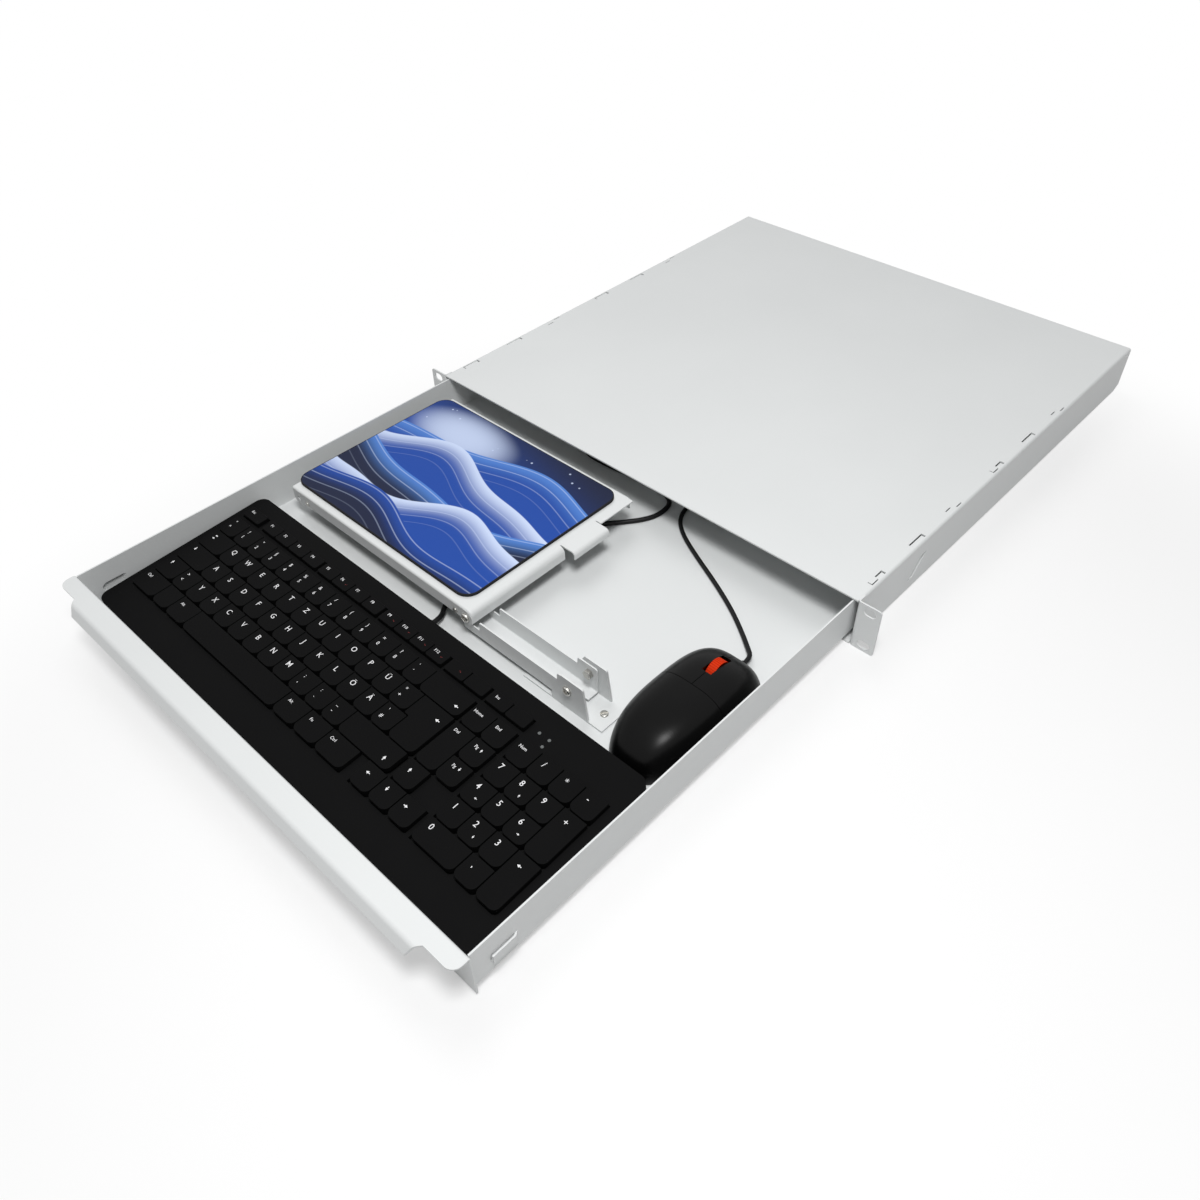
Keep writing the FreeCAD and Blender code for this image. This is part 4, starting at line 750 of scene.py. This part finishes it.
def foam_pad():
    """Foam pad with rounded corners, a printed cloth top and a thin dark rim."""
    low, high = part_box("mouse_pad")
    size = high - low
    fresh()
    bpy.ops.mesh.primitive_cube_add(size=1.0, location=(low + high) / 2, scale=size)
    pad = bpy.context.object
    pad.name = "mouse_pad_foam"
    apply_place(pad)
    pick_edges(pad, lambda a, b: abs(a.z - b.z) > 0.9 * size.z)
    bpy.ops.mesh.bevel(offset=PAD_CORNER_R, segments=10)
    to_object()
    pick_faces(pad, lambda face: face.normal.z > 0.9)
    for rim in PAD_RIMS:
        bpy.ops.mesh.inset(thickness=rim)
    to_object()
    soften(pad, PAD_EDGE, 3, 50)
    settle(pad, "mouse_pad", FOAM)
    pad.data.materials.append(CLOTH)
    for face in pad.data.polygons:
        if face.normal.z > 0.95 and face.area > PAD_TOP_AREA:
            face.material_index = 1
    return pad


foam_pad()


# Cords

FLOOR = -14.5
COIL_CLIMB = 0.25
COIL_STEPS = 16


def coil_turns(centre, middle, diameter, start, way, layers):
    """Points of a coil wound in and out by turns, layer on layer, with a quarter turn up between layers."""
    points = []
    turned = 0.0
    radius = middle + diameter
    height = FLOOR + diameter / 2

    def go(turns, outwards, upwards):
        nonlocal turned, radius, height
        for _ in range(round(turns * COIL_STEPS)):
            turned += 1 / COIL_STEPS
            radius += outwards / COIL_STEPS
            height += upwards / COIL_STEPS
            put()

    def put():
        angle = math.radians(start) + way * 2 * math.pi * turned
        points.append((centre[0] + radius * math.cos(angle), centre[1] + radius * math.sin(angle), height))

    put()
    outwards = -diameter
    for layer, turns in enumerate(layers):
        if layer:
            go(COIL_CLIMB, 0.0, diameter / COIL_CLIMB)
        go(turns, outwards, 0.0)
        outwards = -outwards
    return points


def cord(name, points, diameter):
    """Round cord along one smooth spline through millimetre points."""
    curve = bpy.data.curves.new(name, "CURVE")
    curve.dimensions = "3D"
    curve.bevel_depth = diameter * MM / 2
    curve.bevel_resolution = 4
    curve.use_fill_caps = True
    curve.resolution_u = 4
    spline = curve.splines.new("NURBS")
    spline.points.add(len(points) - 1)
    for point, place in zip(spline.points, points):
        point.co = (place[0] * MM, place[1] * MM, place[2] * MM, 1.0)
    spline.order_u = 3
    spline.use_endpoint_u = True
    piece = bpy.data.objects.new(name, curve)
    bpy.context.scene.collection.objects.link(piece)
    curve.materials.append(JACKET)
    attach(piece, "drawer")
    return piece


for node in ("keyboard_strain_relief", "mouse_strain_relief", "keyboard_plug", "mouse_plug", "cord_ties"):
    dressed(node, JACKET)
for node in ("keyboard_plug_shell", "mouse_plug_shell"):
    dressed(node, STEEL, FINE_EDGE)

KB_CORD = 4.0
kb_route = [(-9.0, -198.372, -8.5), (-9.0, -190.372, -8.5), (-17.0, -181.5, -11.167),
            (-26.0, -168.0, -12.5), (-35.0, -148.0, -12.5), (-39.0, -120.0, -12.5),
            (-35.0, -90.0, -12.5), (-23.0, -62.0, -12.5), (-6.0, -38.0, -12.5), (12.0, -18.0, -12.5),
            (25.0, -1.0, -12.5), (29.5, 14.0, -12.5), (26.0, 31.0, -12.5), (8.0, 37.0, -12.5),
            (-16.0, 36.0, -12.5), (-42.0, 33.0, -12.5)]
kb_route += coil_turns((-66.0, 56.0), 20.0, KB_CORD, 270, -1, (2.0, 2.0, 2.0, 1.75))
kb_route += [(-57.0, 79.0, -0.5), (-48.0, 78.0, -2.5), (-37.0, 75.5, -9.5), (-27.0, 70.0, -11.8),
             (-20.0, 69.0, -10.75), (-12.0, 69.0, -10.75)]
keyboard_cord = cord("keyboard_cord_smooth", kb_route, KB_CORD)
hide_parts("keyboard_cord", "keyboard_cord_coil")

MOUSE_CORD = 3.5
mouse_route = [(183.5, -76.38, -9.5), (183.5, -68.38, -9.5), (176.0, -61.5, -11.667),
               (162.0, -50.5, -12.75), (142.0, -37.0, -12.75), (115.0, -22.5, -12.75),
               (85.0, -8.5, -12.75), (60.0, 4.5, -12.75), (45.0, 17.5, -12.75), (39.0, 34.0, -12.75)]
mouse_route += coil_turns((62.0, 56.0), 20.0, MOUSE_CORD, 180, -1, (2.0, 2.0, 2.0, 1.5))
mouse_route += [(71.0, 77.7, -2.25), (80.0, 77.0, -4.0), (91.0, 74.5, -10.5), (101.0, 70.0, -11.8),
                (108.0, 69.0, -10.75), (116.0, 69.0, -10.75)]
mouse_cord = cord("mouse_cord_smooth", mouse_route, MOUSE_CORD)
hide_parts("mouse_cord", "mouse_cord_coil")


# Studio

FLOOR_SIZE = 16.0
FLOOR_DROP = 0.1 * MM
FLOOR_LIT = rgb(0.68, 0.68, 0.68)
FLOOR_SEEN = rgb(0.86, 0.86, 0.86)
FLOOR_WHITE = 0.42
SHADOW_MIDDLE = (0.2, -0.15)
SHADOW_REACH = (0.5, 0.6)
WHITE = rgb(1.0, 1.0, 1.0)
WORLD_DIM = 0.2
WORLD_BRIGHT = 1.0

# Lamps: place, target, size and energy
KEY_LAMP = ((0.43, -0.42, 1.2), (0.05, -0.1, 0.0), 0.36, 13.2)
FILL_LAMP = ((-1.1, 0.6, 1.8), (0.0, 0.0, 0.0), 1.4, 16.0)

# Camera of the photograph
CAMERA_PLACE = (0.44987, -0.49085, 0.52159)
CAMERA_AZIMUTH = math.radians(44.419)
CAMERA_ELEVATION = math.radians(43.974)
CAMERA_ROLL = math.radians(1.576)
CAMERA_LENS = 30.609
CAMERA_SENSOR = 36.0


def studio_floor():
    """Floor that looks white and keeps a soft shadow round the object."""
    fresh()
    bpy.ops.mesh.primitive_plane_add(size=FLOOR_SIZE, location=(0, 0, cad_low.z - FLOOR_DROP))
    floor = bpy.context.object
    floor.name = "studio_floor"
    apply_place(floor)
    pale = Finish("studio_floor", Roughness=0.9)
    path = pale.tree.nodes.new("ShaderNodeLightPath")
    seen = Level(pale, path.outputs["Is Camera Ray"])
    for kind in ("Is Glossy Ray", "Is Transmission Ray"):
        seen = seen + Level(pale, path.outputs[kind])
    pale.set("Base Color", pale.mix(seen, FLOOR_LIT, FLOOR_SEEN))
    pale.set("Specular IOR Level", 0.0)
    white = pale.node("ShaderNodeEmission", {}, {"Color": WHITE, "Strength": 1.0})
    plain = Level(pale, pale.shader.outputs["BSDF"])
    aside = (pale.axis("X") - SHADOW_MIDDLE[0]) * (1 / SHADOW_REACH[0])
    ahead = (pale.axis("Y") - SHADOW_MIDDLE[1]) * (1 / SHADOW_REACH[1])
    away = (aside * aside + ahead * ahead).above(0.85, 0.4)
    share = seen * (FLOOR_WHITE + (1.0 - FLOOR_WHITE) * away)
    mixed = pale.node("ShaderNodeMixShader", {}, {0: share, 1: plain, 2: white})
    pale.feed(pale.tree.nodes["Material Output"].inputs["Surface"], mixed)
    pale.material.cycles.emission_sampling = "NONE"
    floor.data.materials.append(pale.material)
    floor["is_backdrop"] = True


def softbox(place, target, size, energy):
    """Square lamp that looks at a target."""
    bpy.ops.object.light_add(type="AREA", location=place)
    lamp = bpy.context.object
    lamp.data.size = size
    lamp.data.energy = energy
    lamp.rotation_euler = (Vector(target) - Vector(place)).to_track_quat("-Z", "Y").to_euler()
    return lamp


def studio_light():
    """Dim white surroundings, a softbox overhead to the right and a wide fill from the left."""
    world = bpy.data.worlds.new("studio")
    world.use_nodes = True
    bpy.context.scene.world = world
    tree = world.node_tree
    dim = tree.nodes["Background"]
    bright = tree.nodes.new("ShaderNodeBackground")
    for sky, strength in ((dim, WORLD_DIM), (bright, WORLD_BRIGHT)):
        sky.inputs["Color"].default_value = WHITE
        sky.inputs["Strength"].default_value = strength
    path = tree.nodes.new("ShaderNodeLightPath")
    seen = tree.nodes.new("ShaderNodeMath")
    seen.operation = "MAXIMUM"
    tree.links.new(path.outputs["Is Camera Ray"], seen.inputs[0])
    also = tree.nodes.new("ShaderNodeMath")
    also.operation = "MAXIMUM"
    tree.links.new(path.outputs["Is Glossy Ray"], also.inputs[0])
    tree.links.new(path.outputs["Is Transmission Ray"], also.inputs[1])
    tree.links.new(also.outputs[0], seen.inputs[1])
    mixed = tree.nodes.new("ShaderNodeMixShader")
    tree.links.new(seen.outputs[0], mixed.inputs[0])
    tree.links.new(dim.outputs[0], mixed.inputs[1])
    tree.links.new(bright.outputs[0], mixed.inputs[2])
    tree.links.new(mixed.outputs[0], tree.nodes["World Output"].inputs["Surface"])
    softbox(*KEY_LAMP)
    fill = softbox(*FILL_LAMP)
    fill.visible_glossy = False


def studio_camera():
    """Camera at the photograph's place and angle."""
    level = math.cos(CAMERA_ELEVATION)
    back = Vector((math.sin(CAMERA_AZIMUTH) * level, -math.cos(CAMERA_AZIMUTH) * level,
                   math.sin(CAMERA_ELEVATION)))
    bpy.ops.object.camera_add(location=CAMERA_PLACE)
    camera = bpy.context.object
    camera.rotation_mode = "QUATERNION"
    camera.rotation_quaternion = (-back).to_track_quat("-Z", "Y") @ Quaternion((0, 0, 1), -CAMERA_ROLL)
    camera.data.sensor_width = CAMERA_SENSOR
    camera.data.lens = CAMERA_LENS
    camera.data.clip_start = 0.01
    bpy.context.scene.camera = camera


studio_floor()
studio_light()
studio_camera()
bpy.context.scene.view_settings.view_transform = "Standard"

low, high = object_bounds()
